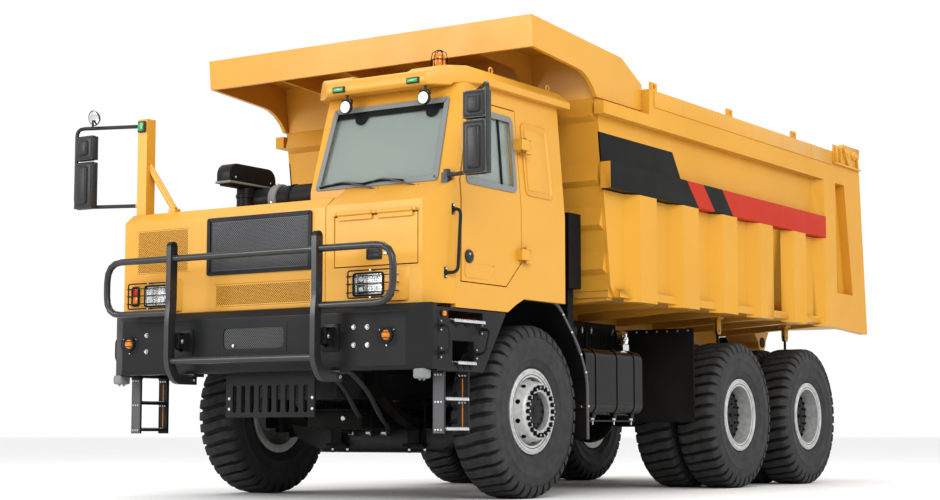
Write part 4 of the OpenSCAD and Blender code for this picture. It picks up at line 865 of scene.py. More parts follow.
def add_border(shape, corners, width, depth, corner):
    """A flat strip with rounded corners round an opening, raised along its own normal."""
    face = shape.faces.new([shape.verts.new(spot) for spot in corners])
    face.normal_update()
    up = face.normal * depth
    before = set(shape.faces) - {face}
    round_off(shape, list(face.verts), corner, 5, "VERTICES")
    middle = next(made for made in shape.faces if made not in before)
    strip = bmesh.ops.inset_region(shape, faces=[middle], thickness=width, use_even_offset=True,
                                   use_boundary=True)["faces"]
    bmesh.ops.delete(shape, geom=[middle], context="FACES_ONLY")
    thicken(shape, strip, up)


def rectangle(low, high):
    """Outline of a rectangle, as pairs."""
    return [low, (high[0], low[1]), high, (low[0], high[1])]


def facing(x, low, high):
    """Corners of an upright rectangle that faces ahead."""
    return [(x, *pair) for pair in rectangle(low, high)]


def rounded_rectangle(low, high, radius, steps=5):
    """Outline of a rectangle with round corners, as pairs."""
    corners = ((high[0], high[1], 0), (low[0], high[1], 90), (low[0], low[1], 180), (high[0], low[1], 270))
    points = []
    for a, b, turn in corners:
        centre = (a - math.copysign(radius, a - (low[0] + high[0]) / 2),
                  b - math.copysign(radius, b - (low[1] + high[1]) / 2))
        points += arc(centre, radius, turn, turn + 90, steps)
    return points


def add_ringed_sheet(shape, x, low, high, hole, depth):
    """An upright crosswise sheet with one opening; pairs are places across and up."""
    loops = []
    for outline in (rounded_rectangle(low, high, 0.002, 1), hole):
        loops += add_loop(shape, [(x, *point) for point in outline])
    faces = bmesh.ops.bridge_loops(shape, edges=loops)["faces"]
    thicken(shape, faces, (depth, 0, 0))


HOLE_PITCH = 0.0155
HOLE_WEB = 0.0052
SHEET_DEPTH = 0.004


def within(face, low, high, margin):
    """Whether a face's middle lies in an upright rectangle grown by a margin."""
    middle = face.calc_center_median()
    return (low[0] - margin < middle.y < high[0] + margin
            and low[1] - margin < middle.z < high[1] + margin)


def perforated_sheet(low, high, x):
    """A crosswise sheet with rows of staggered holes: a turned grid, inset, opened and trimmed."""
    shape = bmesh.new()
    wide, tall = high[0] - low[0], high[1] - low[1]
    steps = int((wide + tall) / 1.414 / HOLE_PITCH) + 2
    place = (Matrix.Translation((x, (low[0] + high[0]) / 2, (low[1] + high[1]) / 2))
             @ Matrix.Rotation(math.radians(90), 4, "Y") @ Matrix.Rotation(math.radians(45), 4, "Z"))
    bmesh.ops.create_grid(shape, x_segments=steps, y_segments=steps, size=steps * HOLE_PITCH / 2,
                          matrix=place)
    outside = [face for face in shape.faces if not within(face, low, high, HOLE_PITCH)]
    bmesh.ops.delete(shape, geom=outside, context="FACES")
    open_cells = [face for face in shape.faces if within(face, low, high, -HOLE_PITCH * 0.7)]
    bmesh.ops.inset_individual(shape, faces=open_cells, thickness=HOLE_WEB / 2, use_even_offset=True)
    bmesh.ops.delete(shape, geom=open_cells, context="FACES")
    for spot, way in (((x, low[0], 0), RIGHTWARD), ((x, high[0], 0), LEFTWARD),
                      ((x, 0, low[1]), DOWN), ((x, 0, high[1]), UP)):
        bmesh.ops.bisect_plane(shape, geom=shape.verts[:] + shape.edges[:] + shape.faces[:], dist=0.00001,
                               plane_co=spot, plane_no=way, clear_outer=True)
    thicken(shape, shape.faces[:], (SHEET_DEPTH, 0, 0))
    return shape


# Grilles in the nose

NOSE = along(1.660)
GRILLES = (("upper", (-0.650, 1.933), (0.430, 2.368), mesh_grey, "grille_mesh"),
           ("lower", (-0.592, 1.634), (0.455, 1.821), yellow, "yellow_paint"),
           ("right", (-1.500, 1.957), (-0.905, 2.333), yellow, "yellow_paint"))
for word, low, high, coat, slot in GRILLES:
    add_piece(f"grille_sheet_{word}", perforated_sheet(low, high, NOSE - 0.005), coat, "chassis")

grille_frame = bmesh.new()
add_border(grille_frame, facing(NOSE, (-0.680, 1.903), (0.460, 2.398)), 0.034, 0.014, 0.022)
add_piece("grille_frame", grille_frame, dark, "chassis")


# Head lamps, each in a raised housing behind a wire guard

def add_facets(shape, low, high, cuts, depth, index):
    """A lamp bowl whose front is a field of small hollows."""
    low, high = Vector(low), Vector(high)
    place = Matrix.Translation((low + high) / 2) @ Matrix.Diagonal((*(high - low), 1.0))
    made = bmesh.ops.create_cube(shape, size=1.0, matrix=place)["verts"]
    faces = faces_on(made)
    paint_faces(faces, index)
    front = max(faces, key=lambda face: face.calc_center_median().x)
    before = set(shape.faces) - {front}
    bmesh.ops.subdivide_edges(shape, edges=list(front.edges), cuts=cuts, use_grid_fill=True)
    cells = [face for face in shape.faces if face not in before
             and all(abs(v.co.x - high.x) < 0.0001 for v in face.verts)]
    bmesh.ops.inset_individual(shape, faces=cells, thickness=0.003, depth=-depth, use_even_offset=True)


LAMP_LOW, LAMP_HIGH, LAMP_SPLIT = 1.668, 1.836, 1.755
GUARD_LOW, GUARD_HIGH = 1.642, 1.862
WIRE = 0.0045
HOUSING_DEPTH = 0.036


def fit_head_lamp(word, housing, lens, guard, amber):
    """A head lamp with its housing and wire guard; each pair is a reach across the truck."""
    front = NOSE + HOUSING_DEPTH
    box = bmesh.new()
    add_plate(box, [(NOSE - 0.002, housing[0] - 0.030), (front, housing[0]), (front, housing[1]),
                    (NOSE - 0.002, housing[1] + 0.075)], "z", 1.612, 1.884, 0, 0.005)
    add_piece(f"head_lamp_housing_{word}", box, yellow, "chassis")
    lamp = bmesh.new()
    add_border(lamp, facing(front, (lens[0] - 0.012, LAMP_LOW - 0.012), (lens[1] + 0.012, LAMP_HIGH + 0.012)),
               0.014, 0.012, 0.028)
    middle = (lens[0] + lens[1]) / 2
    for y_low, y_high in ((lens[0] + 0.002, middle - 0.002), (middle + 0.002, lens[1] - 0.002)):
        for z_low, z_high in ((LAMP_LOW + 0.002, LAMP_SPLIT - 0.002),
                              (LAMP_SPLIT + 0.002, LAMP_HIGH - 0.002)):
            add_facets(lamp, (front - 0.002, y_low, z_low), (front + 0.007, y_high, z_high), 3, 0.006, 1)
            add_turned(lamp, [(0.022, 0.0065), (0.020, 0.010), (0.011, 0.0115), (0.0, 0.012)],
                       (front, (y_low + y_high) / 2, (z_low + z_high) / 2), AHEAD, 16, 2)
    if amber:
        add_border(lamp, facing(front, (amber[0] - 0.014, 1.668), (amber[1] + 0.014, 1.842)),
                   0.014, 0.014, 0.026)
        for z_low, z_high, index in ((1.682, LAMP_SPLIT - 0.002, 3), (LAMP_SPLIT + 0.002, 1.828, 4)):
            add_block(lamp, (front - 0.002, amber[0], z_low), (front + 0.012, amber[1], z_high),
                      0.010, 3, index)
    piece = add_piece(f"head_lamp_{word}", lamp, (rubber, reflector, clear_lens, amber_lens, red_lens),
                      "chassis")
    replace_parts(piece, "lamps")
    cage = bmesh.new()
    stand = front + 0.048
    middle = (guard[0] + guard[1]) / 2
    corners = [(middle, GUARD_HIGH), (guard[1], GUARD_HIGH), (guard[1], GUARD_LOW), (guard[0], GUARD_LOW),
               (guard[0], GUARD_HIGH), (middle, GUARD_HIGH)]
    add_bent_rod(cage, rounded_path([(stand, *corner) for corner in corners], 0.018, 4), 0.006, 10)
    for z in (1.686, LAMP_SPLIT, 1.818):
        add_bent_rod(cage, rounded_path([(stand - 0.046, guard[0] - 0.022, z), (stand, guard[0] - 0.022, z),
                                         (stand, guard[1] + 0.014, z),
                                         (stand - 0.046, guard[1] + 0.014, z)], 0.014, 4), WIRE, 8)
    for z in (GUARD_LOW, GUARD_HIGH):
        add_rod(cage, (front - 0.004, middle, z), (stand, middle, z), WIRE, 8)
        add_hex_nut(cage, (stand, middle, z), AHEAD, *RAIL_BOLT, 1)
    add_piece(f"head_lamp_guard_{word}", cage, (dark, steel), "chassis")


fit_head_lamp("right", (-1.560, -1.030), (-1.359, -1.076), (-1.523, -1.052), (-1.508, -1.446))
fit_head_lamp("left", (0.840, 1.373), (0.927, 1.210), (0.897, 1.352), None)


# Latch and lock of the hatch

latch = bmesh.new()
add_border(latch, facing(NOSE, (1.025, 1.953), (1.176, 2.042)), 0.010, 0.010, 0.012)
add_block(latch, (NOSE - 0.002, 1.033, 1.961), (NOSE + 0.003, 1.168, 2.034), 0.001, 1)
add_block(latch, (NOSE, 1.040, 1.966), (NOSE + 0.011, 1.161, 1.996), 0.004, 3)
add_block(latch, (NOSE, 1.040, 2.008), (NOSE + 0.007, 1.161, 2.030), 0.003, 2)
add_turned(latch, [(0.015, -0.002), (0.015, 0.008), (0.012, 0.011), (0.006, 0.011), (0.005, 0.009),
                   (0.0, 0.009)], (NOSE, 1.212, 2.000), AHEAD, 24, 1)
add_piece("hatch_latch", latch, (mirror_black, steel), "hatch")


# Bumper: mesh inlet, side lamps in cages, bolts, guard brackets and the slotted plate below

BUMPER = along(1.810)
INLET_LOW, INLET_HIGH = (-0.374, 1.246), (0.307, 1.446)
inlet = perforated_sheet(INLET_LOW, INLET_HIGH, BUMPER - 0.010)
add_plate(inlet, rectangle(INLET_LOW, INLET_HIGH), "x", BUMPER - 0.0135, BUMPER - 0.0115, 1)
add_piece("bumper_inlet_mesh", inlet, (mesh_grey, mesh_black), "chassis")

BUMPER_BOLTS = ((-1.231, 1.401), (-1.231, 1.260), (1.010, 1.402), (1.147, 1.400), (1.010, 1.259),
                (1.147, 1.257))
SIDE_LAMP_Z = 1.330
CAGE_X, CAGE_RADIUS = BUMPER + 0.036, 0.070
fittings = bmesh.new()
add_ringed_sheet(fittings, BUMPER - 0.002, (-0.392, 1.228), (0.325, 1.464),
                 rounded_rectangle((-0.362, 1.258), (0.295, 1.434), 0.050), 0.005)
for y, z in BUMPER_BOLTS:
    add_turned(fittings, [(0.021, -0.002), (0.021, 0.004), (0.0, 0.004)], (BUMPER, y, z), AHEAD, 20, 1)
    add_hex_nut(fittings, (BUMPER + 0.004, y, z), AHEAD, *BUMPER_BOLT, 1)
add_hex_nut(fittings, (BUMPER - 0.006, -0.248, 1.286), AHEAD, *INLET_BOLT, 1)
for y in (-1.428, 1.336):
    spot = (BUMPER, y, SIDE_LAMP_Z)
    add_turned(fittings, [(0.060, -0.002), (0.060, 0.010), (0.054, 0.016), (0.044, 0.016), (0.041, 0.008)],
               spot, AHEAD, 32, 0)
    add_turned(fittings, [(0.042, 0.002), (0.042, 0.016), (0.036, 0.026), (0.022, 0.032), (0.0, 0.034)],
               spot, AHEAD, 32, 2)
    add_bent_rod(fittings, [(CAGE_X, a, b) for a, b in arc((y, SIDE_LAMP_Z), CAGE_RADIUS, 0, 345, 23)],
                 0.004, 8, 0, True)
    for z in (-0.022, 0.022):
        reach = math.sqrt(CAGE_RADIUS ** 2 - z ** 2)
        add_bent_rod(fittings, [(CAGE_X + 0.010 * (1 - t * t), y + t * reach, SIDE_LAMP_Z + z)
                                for t in (-1.0, -0.6, -0.2, 0.2, 0.6, 1.0)], 0.003, 6)
    for turn in (30, 150, 270):
        a, b = CAGE_RADIUS * math.cos(math.radians(turn)), CAGE_RADIUS * math.sin(math.radians(turn))
        add_rod(fittings, (BUMPER - 0.002, y + a, SIDE_LAMP_Z + b), (CAGE_X, y + a, SIDE_LAMP_Z + b),
                0.004, 8)
        add_hex_nut(fittings, (BUMPER, y + a * 1.16, SIDE_LAMP_Z + b * 1.16), AHEAD, *CAGE_BOLT, 1)
add_piece("bumper_fittings", fittings, (dark, steel, amber_lens), "chassis")

GUARD_X = along(2.000)
brackets = bmesh.new()
for y in (-0.780, 0.780):
    add_block(brackets, (BUMPER - 0.002, y - 0.085, 1.215), (BUMPER + 0.012, y + 0.085, 1.435), 0.003)
    for step in (-0.045, 0.037):
        add_plate(brackets, [(BUMPER + 0.010, 1.245), (GUARD_X - 0.060, 1.290), (GUARD_X - 0.036, 1.290),
                             (GUARD_X - 0.036, 1.372), (GUARD_X - 0.060, 1.372), (BUMPER + 0.010, 1.412)],
                  "y", y + step, y + step + 0.008)
    add_block(brackets, (BUMPER + 0.010, y - 0.040, 1.396), (GUARD_X - 0.062, y + 0.040, 1.404), 0.002)
    add_block(brackets, (GUARD_X - 0.062, y - 0.060, 1.270), (GUARD_X - 0.036, y + 0.060, 1.392), 0.004)
    for z in (1.300, 1.362):
        for step in (-0.060, 0.060):
            add_hex_nut(brackets, (GUARD_X - 0.036, y + step * 0.78, z), AHEAD, *GUARD_NUT, 0, 0)
    add_plate(brackets, arc((GUARD_X, 2.134), 0.042, 0, 180, 14), "y", y - 0.026, y + 0.026, 0, 0.003)
    for way in (LEFT, RIGHT):
        add_hex_nut(brackets, (GUARD_X - 0.085, y + way * 0.045, 1.331), (0, way, 0), *PIVOT_NUT, 1, 1)
        add_hex_nut(brackets, (BUMPER - 0.075, y + way * 0.026, 1.012), (0, way, 0), *LINK_NUT, 1, 1)
add_piece("guard_brackets", brackets, (dark, steel), "chassis")

SKID = along(1.640)
SKID_LOW, SKID_HIGH, SKID_DEPTH = 0.690, 1.060, 0.022
SKID_BARS, SKID_PITCH = 10, 0.095
skid = bmesh.new()
for k in range(SKID_BARS):
    slot_middle = -0.450 + k * SKID_PITCH
    low = slot_middle - (0.0 if k == 0 else SKID_PITCH / 2)
    high = slot_middle + (SKID_PITCH if k == SKID_BARS - 1 else SKID_PITCH / 2)
    if k == 0:
        add_plate(skid, rectangle((low, SKID_LOW), (high, SKID_HIGH)), "x", SKID, SKID + SKID_DEPTH)
    else:
        add_ringed_sheet(skid, SKID, (low, SKID_LOW), (high, SKID_HIGH),
                         rounded_rectangle((slot_middle - 0.022, 0.730), (slot_middle + 0.022, 0.960),
                                           0.0219, 6), SKID_DEPTH)
for y, z in ((-0.405, 0.848), (-0.405, 0.760), (0.485, 0.851), (0.485, 0.760)):
    add_hex_nut(skid, (SKID + SKID_DEPTH, y, z), AHEAD, *SKID_BOLT, 1)
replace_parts(add_piece("skid_plate_slotted", skid, (dark, steel), "chassis"), "skid_plate")


# Cab: seals, pressed panels, rails, wipers, roof lamps and mirrors

white_lens = lamp_glass("white_lamp_lens", (0.93, 0.93, 0.92), 0.0)


def screen_x(z):
    """The leaning windscreen's outer face at a height."""
    return along(1.380) - 0.230 * (z - 2.600) / 0.730


def side_y(z):
    """The cab's left side, upright to the belt line and leaning in above it."""
    return 1.700 - 0.0808 * max(0.0, z - 2.450)


def on_screen(y, z, lift):
    """A place in front of the windscreen."""
    return (screen_x(z) + lift, y, z)


def on_side(points, lift):
    """Places on the cab's left side, from pairs along and up."""
    return [(along(x), side_y(z) + lift, z) for x, z in points]


def add_pressed_panel(shape, corners, corner, steps):
    """A panel pressed in steps: rounded outline, then insets that rise or sink."""
    face = shape.faces.new([shape.verts.new(spot) for spot in corners])
    before = set(shape.faces) - {face}
    if corner:
        round_off(shape, list(face.verts), corner, 5, "VERTICES")
    middle = next(made for made in shape.faces if made not in before)
    middle.normal_update()
    up = middle.normal.copy()
    back = bmesh.ops.extrude_face_region(shape, geom=[middle])
    bmesh.ops.translate(shape, verts=new_verts(back), vec=up * steps[0][1])
    top = new_faces(back)[0]
    for inset, rise in steps[1:]:
        bmesh.ops.inset_region(shape, faces=[top], thickness=inset, depth=rise, use_even_offset=True,
                               use_boundary=True)
    made = [item for item in shape.faces if item not in before]
    bmesh.ops.recalc_face_normals(shape, faces=made)


seals = bmesh.new()
SCREEN_EDGE = ((0.272, 2.596), (1.528, 2.596), (1.494, 3.322), (0.306, 3.322))
add_border(seals, [on_screen(y, z, 0.0) for y, z in SCREEN_EDGE], 0.046, 0.010, 0.030)
add_piece("windscreen_seal", seals, seal_grey, "chassis")

window_seal = bmesh.new()
add_border(window_seal, on_side(((1.222, 2.582), (0.432, 2.582), (0.432, 3.238), (1.050, 3.238)), 0.001),
           0.050, 0.009, 0.060)
add_bent_rod(window_seal, on_side(((0.640, 2.615), (0.640, 2.9), (0.640, 3.21)), -0.012), 0.011, 8, 1)
add_piece("door_window_seal", window_seal, (seal_grey, rubber), "door")

pressed = bmesh.new()
add_pressed_panel(pressed, on_side(((0.285, 2.585), (-0.170, 2.585), (-0.140, 3.220), (0.300, 3.220)),
                                   -0.002), 0.060, ((0.0, 0.012), (0.012, 0.005), (0.022, -0.013)))
add_pressed_panel(pressed, on_side(((0.235, 2.635), (-0.120, 2.635), (-0.095, 3.170), (0.245, 3.170)),
                                   -0.002), 0.0, ((0.0, 0.006), (0.085, 0.024)))
add_piece("cab_rear_pressing", pressed, yellow, "chassis")

door_fittings = bmesh.new()
add_pressed_panel(door_fittings, on_side(((1.245, 1.815), (0.900, 1.815), (0.800, 1.935), (1.245, 1.935)),
                                         -0.001), 0.022, ((0.0, 0.005), (0.020, -0.009)))
add_turned(door_fittings, [(0.056, -0.003), (0.056, 0.010), (0.050, 0.020), (0.034, 0.028), (0.014, 0.031),
                           (0.013, 0.026), (0.0, 0.026)], (along(1.190), 1.700, 1.985), LEFTWARD, 32, 1)
add_turned(door_fittings, [(0.012, 0.024), (0.011, 0.034), (0.0, 0.035)], (along(1.215), 1.700, 2.000),
           LEFTWARD, 16, 2)
add_piece("door_fittings", door_fittings, (yellow, mirror_black, steel), "door")

grab = bmesh.new()
add_bent_rod(grab, rounded_path([(along(1.400), 1.680, 2.350), (along(1.396), 1.762, 2.350),
                                 (along(1.424), 1.752, 1.835), (along(1.470), 1.650, 1.835)], 0.055),
             0.0135, 12)
for x, y, z in ((1.402, 1.690, 2.350), (1.466, 1.661, 1.835)):
    add_block(grab, (along(x) - 0.012, y - 0.006, z - 0.045), (along(x) + 0.012, y + 0.006, z + 0.045),
              0.003, 2, 0, Matrix.Rotation(math.radians(-25), 4, "Z"))
    for step in (-0.032, 0.032):
        add_hex_nut(grab, (along(x), y + 0.004, z + step), (0.42, 0.91, 0), *RAIL_BOLT, 1)
add_piece("cab_grab_rail", grab, (dark, steel), "chassis")

# Sun strip along the head of the windscreen, with two round lobes below it that are painted shadows of the roof work
# lamps on the glass
strip = bmesh.new()
rim = [(0.330, 3.300), (0.336, 3.232)]
# Painted shadows: the two round lobes stand in for the work lamps' shadows on the glass
for lamp_shadow_y in (0.600, 1.330):
    rim += arc((lamp_shadow_y, 3.232), 0.066, 180, 360, 10)
rim += [(1.464, 3.232), (1.468, 3.300)]
sheet = strip.faces.new([strip.verts.new(on_screen(y, z, -0.014)) for y, z in rim])
thicken(strip, [sheet], (0.006, 0, 0))
add_piece("screen_sun_strip_and_painted_lamp_shadows", strip, rubber, "chassis")


def add_wiper(shape, pivot_y, arm_y, blade_low, blade_high):
    """A wiper: pivot, cranked arm, bowed blade and the two claws that hold it."""
    pivot, elbow = on_screen(pivot_y, 2.556, 0.012), on_screen(arm_y, 2.652, 0.034)
    add_turned(shape, [(0.020, -0.020), (0.020, 0.012), (0.014, 0.022), (0.0, 0.024)], pivot, (1, 0, 0.3), 16)
    add_bent_rod(shape, [on_screen(pivot_y, 2.558, 0.030), on_screen(pivot_y - 0.10, 2.588, 0.042),
                         on_screen(arm_y + 0.08, 2.640, 0.040), elbow], 0.0075, 8, 1)
    blade = []
    for y in (blade_low, blade_low + 0.11, blade_low + 0.22, blade_low + 0.33, blade_high):
        bow = math.sin((y - blade_low) / (blade_high - blade_low) * math.pi)
        blade.append(on_screen(y, 2.622 + 0.020 * bow, 0.020))
    add_bent_rod(shape, blade, 0.010, 8)
    for y in (blade_low + 0.10, blade_high - 0.10):
        add_bent_rod(shape, [elbow, on_screen((arm_y + y) / 2, 2.648, 0.036), on_screen(y, 2.636, 0.024)],
                     0.005, 6, 1)


wipers = bmesh.new()
add_wiper(wipers, 0.956, 0.575, 0.330, 0.780)
add_wiper(wipers, 1.361, 0.985, 0.770, 1.190)
add_piece("windscreen_wipers", wipers, (rubber, mesh_grey), "chassis")

# Roof: work lamps, markers, beacon in its cage, lifting eyes
VISOR = along(1.3153)
ROOF_TOP = 3.588
roof_lamps = bmesh.new()
for y in (0.505, 1.311):
    spot = (VISOR - 0.090, y, 3.315)
    add_turned(roof_lamps, [(0.0, 0.0), (0.030, 0.002), (0.048, 0.014), (0.056, 0.030), (0.058, 0.058),
                            (0.053, 0.064), (0.050, 0.058)], spot, AHEAD, 32, 0)
    add_turned(roof_lamps, [(0.0515, 0.052), (0.050, 0.060), (0.032, 0.065), (0.0, 0.067)], spot, AHEAD,
               32, 1)
    add_block(roof_lamps, (VISOR - 0.082, y - 0.045, 3.376), (VISOR - 0.042, y + 0.045, 3.384), 0.002, 2, 0)
    for side in (-0.045, 0.045):
        add_block(roof_lamps, (VISOR - 0.078, y + side - 0.003, 3.340),
                  (VISOR - 0.050, y + side + 0.003, 3.382), 0.001, 1, 0)
    add_rod(roof_lamps, (VISOR - 0.062, y, 3.380), (VISOR - 0.062, y, 3.424), 0.011, 10, 0)
for y in (0.461, 1.230):
    add_block(roof_lamps, (VISOR - 0.012, y - 0.064, 3.436), (VISOR + 0.010, y + 0.064, 3.488), 0.008, 3, 0)
    add_block(roof_lamps, (VISOR, y - 0.052, 3.445), (VISOR + 0.018, y + 0.052, 3.479), 0.008, 3, 2)
add_piece("roof_lamps", roof_lamps, (mirror_black, white_lens, green_lens), "chassis")

beacon = bmesh.new()
foot = (along(1.000), 1.280, ROOF_TOP)
add_turned(beacon, [(0.0, 0.0), (0.078, 0.0), (0.078, 0.012), (0.062, 0.020), (0.060, 0.040),
                    (0.052, 0.044)], foot, UP, 32, 0)
add_turned(beacon, [(0.050, 0.040), (0.054, 0.052), (0.052, 0.066), (0.054, 0.080), (0.052, 0.094),
                    (0.053, 0.108), (0.048, 0.132), (0.034, 0.148), (0.0, 0.152)], foot, UP, 32, 1)
CAGE_WIRE = ((0.068, 0, 0.010), (0.068, 0, 0.110), (0.056, 0, 0.156), (0.020, 0, 0.174))
for k in range(6):
    turn = Matrix.Rotation(math.tau * k / 6, 3, "Z")
    add_bent_rod(beacon, [Vector(foot) + turn @ Vector(spot) for spot in CAGE_WIRE], 0.0035, 6, 2)
for radius, height in ((0.068, 0.092), (0.020, 0.174)):
    add_bent_rod(beacon, [(a, b, foot[2] + height) for a, b in arc(foot[:2], radius, 0, 345, 23)],
                 0.0035, 6, 2, True)
add_piece("roof_beacon", beacon, (yellow, amber_lens, mesh_black), "chassis")

eyes = bmesh.new()
for x, y in ((0.640, 1.560), (-0.300, 1.560), (0.640, 0.205), (-0.300, 0.205)):
    add_bent_rod(eyes, [(a, y, b) for a, b in arc((along(x), 3.620), 0.026, 0, 337.5, 15)], 0.007, 8, 0, True)
    add_turned(eyes, [(0.024, -0.004), (0.024, 0.006), (0.012, 0.010), (0.0, 0.010)], (along(x), y, ROOF_TOP),
               UP, 20)
add_piece("roof_lifting_eyes", eyes, yellow, "chassis")

# Mirror heads: rounded shells over the solids, silver faces behind
mirror_shells = bmesh.new()
for side, x in ((LEFT, 1.620), (RIGHT, 1.700)):
    low_y, high_y = beside(side, 1.966, 2.198)
    for z_low, z_high in ((2.566, 2.999), (3.007, 3.238)):
        add_block(mirror_shells, (along(x) - 0.008, low_y, z_low), (along(x) + 0.080, high_y, z_high),
                  0.038, 5, 0)
        add_block(mirror_shells, (along(x) + 0.050, low_y + 0.055, z_low + 0.045),
                  (along(x) + 0.106, high_y - 0.055, z_high - 0.045), 0.026, 4, 0)
        add_block(mirror_shells, (along(x) - 0.011, low_y + 0.020, z_low + 0.020),
                  (along(x) - 0.004, high_y - 0.020, z_high - 0.020), 0.002, 2, 1)
spot = (along(1.735), -2.000, 3.395)
add_turned(mirror_shells, [(0.0, 0.044), (0.030, 0.040), (0.056, 0.026), (0.068, 0.006), (0.070, 0.0),
                           (0.064, -0.003)], spot, (-1, 0, 0.25), 32, 0)
add_turned(mirror_shells, [(0.065, -0.002), (0.040, -0.007), (0.0, -0.009)], spot, (-1, 0, 0.25), 32, 1)
add_bent_rod(mirror_shells, rounded_path([(along(1.748), -2.000, 3.312), (along(1.748), -2.000, 3.350),
                                          (along(1.748), -2.000, 3.372)], 0.01), 0.010, 8, 0)
for spot in ((along(1.120), 1.640, 3.290), (along(1.405), 1.640, 2.640)):
    add_block(mirror_shells, Vector(spot) - Vector((0.030, 0.024, 0.036)),
              Vector(spot) + Vector((0.030, 0.024, 0.036)), 0.006, 3, 0)
    for step in (-0.022, 0.022):
        add_hex_nut(mirror_shells, Vector(spot) + Vector((0.0, 0.024, step)), LEFTWARD, *MIRROR_NUT, 2, 2)
add_block(mirror_shells, (along(1.556), -1.612, 3.250), (along(1.580), -1.528, 3.350), 0.006, 3, 0)
add_block(mirror_shells, (along(1.572), -1.602, 3.262), (along(1.590), -1.538, 3.338), 0.007, 3, 3)
add_piece("mirror_heads", mirror_shells, (mirror_black, mirror_face, steel, green_lens), "chassis")


# Sides: step treads, handles, ladders, side lamps, tank straps, fender trim and flaps

FOOT_STEPS = ((0.980, 1.440, 1.455, 3), (1.112, 1.384, 1.118, 3))
RUNG_TOPS = (0.594, 0.831)
LADDER_REAR, LADDER_FRONT = 1.148, 1.512
LADDER_BOLTS = (0.585, 0.805, 1.022)
PANEL_Y = 1.700


def add_toothed_bar(shape, x_low, x_high, places, base, top, pitch):
    """An upright bar with a row of flat teeth along its upper edge."""
    count = round((x_high - x_low) / pitch)
    step = (x_high - x_low) / count
    edge = [(along(x_low), base), (along(x_high), base)]
    for k in range(count):
        x = along(x_high) - step * k
        edge += [(x, top - 0.009), (x - step * 0.25, top), (x - step * 0.6, top),
                 (x - step * 0.85, top - 0.009)]
    add_plate(shape, edge + [(along(x_low), top - 0.009)], "y", *places)


def add_serrated_tread(shape, x_low, x_high, near, far, top, side):
    """An alloy tread plate with a toothed lip outside and two toothed rows behind it."""
    add_side_block(shape, side, (x_low, x_high), (near, far), (top - 0.004, top + 0.007), 0.002)
    for back, base in ((0.0, -0.012), (0.040, 0.0), (0.080, 0.0)):
        add_toothed_bar(shape, x_low + 0.002, x_high - 0.002,
                        beside(side, far - back - 0.006, far - back + 0.002), top + base, top + 0.014,
                        0.026)


def lay_treads(word, side):
    """Toothed treads on the steps and rungs, with a scalloped lip under each step."""
    treads = bmesh.new()
    for x_low, x_high, top, scallops in FOOT_STEPS:
        add_serrated_tread(treads, x_low, x_high, 1.600, 1.728, top, side)
        wide = (x_high - x_low) / scallops
        edge = [(along(x_low), top - 0.016)]
        for k in range(scallops):
            x = along(x_low) + wide * k
            edge += [(x + wide * 0.14, top - 0.020), (x + wide * 0.5, top - 0.052),
                     (x + wide * 0.86, top - 0.020)]
        edge += [(along(x_high), top - 0.016), (along(x_high), top - 0.006), (along(x_low), top - 0.006)]
        add_plate(treads, edge, "y", *beside(side, PANEL_Y - 0.002, PANEL_Y + 0.005), 1)
    for top in RUNG_TOPS:
        add_serrated_tread(treads, LADDER_REAR + 0.018, LADDER_FRONT - 0.018, 1.582, 1.690, top, side)
    add_piece(f"step_treads_{word}", treads, (ladder_alloy, rubber), "chassis")


def fit_handles(word, side):
    """Two bolted grab handles and a side marker lamp on the panel beside the bumper."""
    out = Vector((0, side, 0))
    handles = bmesh.new()
    for top, foot in (((1.600, 1.405), (1.600, 1.190)), ((1.008, 1.400), (1.085, 1.195))):
        start, end = [Vector((along(x), side * (PANEL_Y - 0.002), z)) for x, z in (top, foot)]
        add_bent_rod(handles, rounded_path([start, start + out * 0.098, end + out * 0.098, end], 0.060),
                     0.0135, 12)
        for x, z in (top, foot):
            add_side_block(handles, side, (x - 0.020, x + 0.020), (PANEL_Y - 0.001, PANEL_Y + 0.007),
                           (z - 0.048, z + 0.048))
            for step in (-0.034, 0.034):
                add_hex_nut(handles, (along(x), side * (PANEL_Y + 0.006), z + step), out, *PANEL_NUT, 1, 1)
    add_side_block(handles, side, (1.534, 1.588), (PANEL_Y - 0.001, PANEL_Y + 0.010), (1.474, 1.528),
                   0.004, 3)
    add_side_block(handles, side, (1.540, 1.582), (PANEL_Y + 0.006, PANEL_Y + 0.026), (1.480, 1.522),
                   0.009, 3, 2)
    add_piece(f"side_panel_handles_{word}", handles, (dark, steel, amber_lens), "chassis")


def fit_ladder(word, side):
    """Flanged and bolted ladder rails with an orange line on the rear one."""
    ladder = bmesh.new()
    for x, index in ((LADDER_FRONT, 0), (LADDER_REAR + 0.016, 1)):
        add_side_block(ladder, side, (x - 0.001, x + 0.003), (1.578, 1.677), (0.558, 1.044), 0.001, 1, index)
        for edge in (1.580, 1.675):
            add_side_block(ladder, side, (x - 0.020, x + 0.006), (edge - 0.004, edge + 0.004),
                           (0.556, 1.046), 0.002, 2, index)
        add_side_block(ladder, side, (x - 0.024, x + 0.010), (1.572, 1.684), (1.034, 1.060), 0.004, 2, 1)
        for z in LADDER_BOLTS:
            for y in (1.600, 1.6275, 1.655):
                add_hex_nut(ladder, (along(x) + 0.002, side * y, z), AHEAD, *PANEL_NUT, 2, 2)
    add_side_block(ladder, side, (LADDER_REAR + 0.016, LADDER_REAR + 0.0205), (1.623, 1.631), (0.600, 1.000),
                   0.001, 1, 3)
    add_piece(f"ladder_rails_{word}", ladder, (fender_grey, dark, steel, orange_line), "chassis")


TANK_LOW, TANK_HIGH = (0.850, 0.730), (1.600, 1.330)
STRAP_WIDTH = 0.070
HOOK_PLACES = (1.545, 0.905)
TANK_FRONT = -0.902


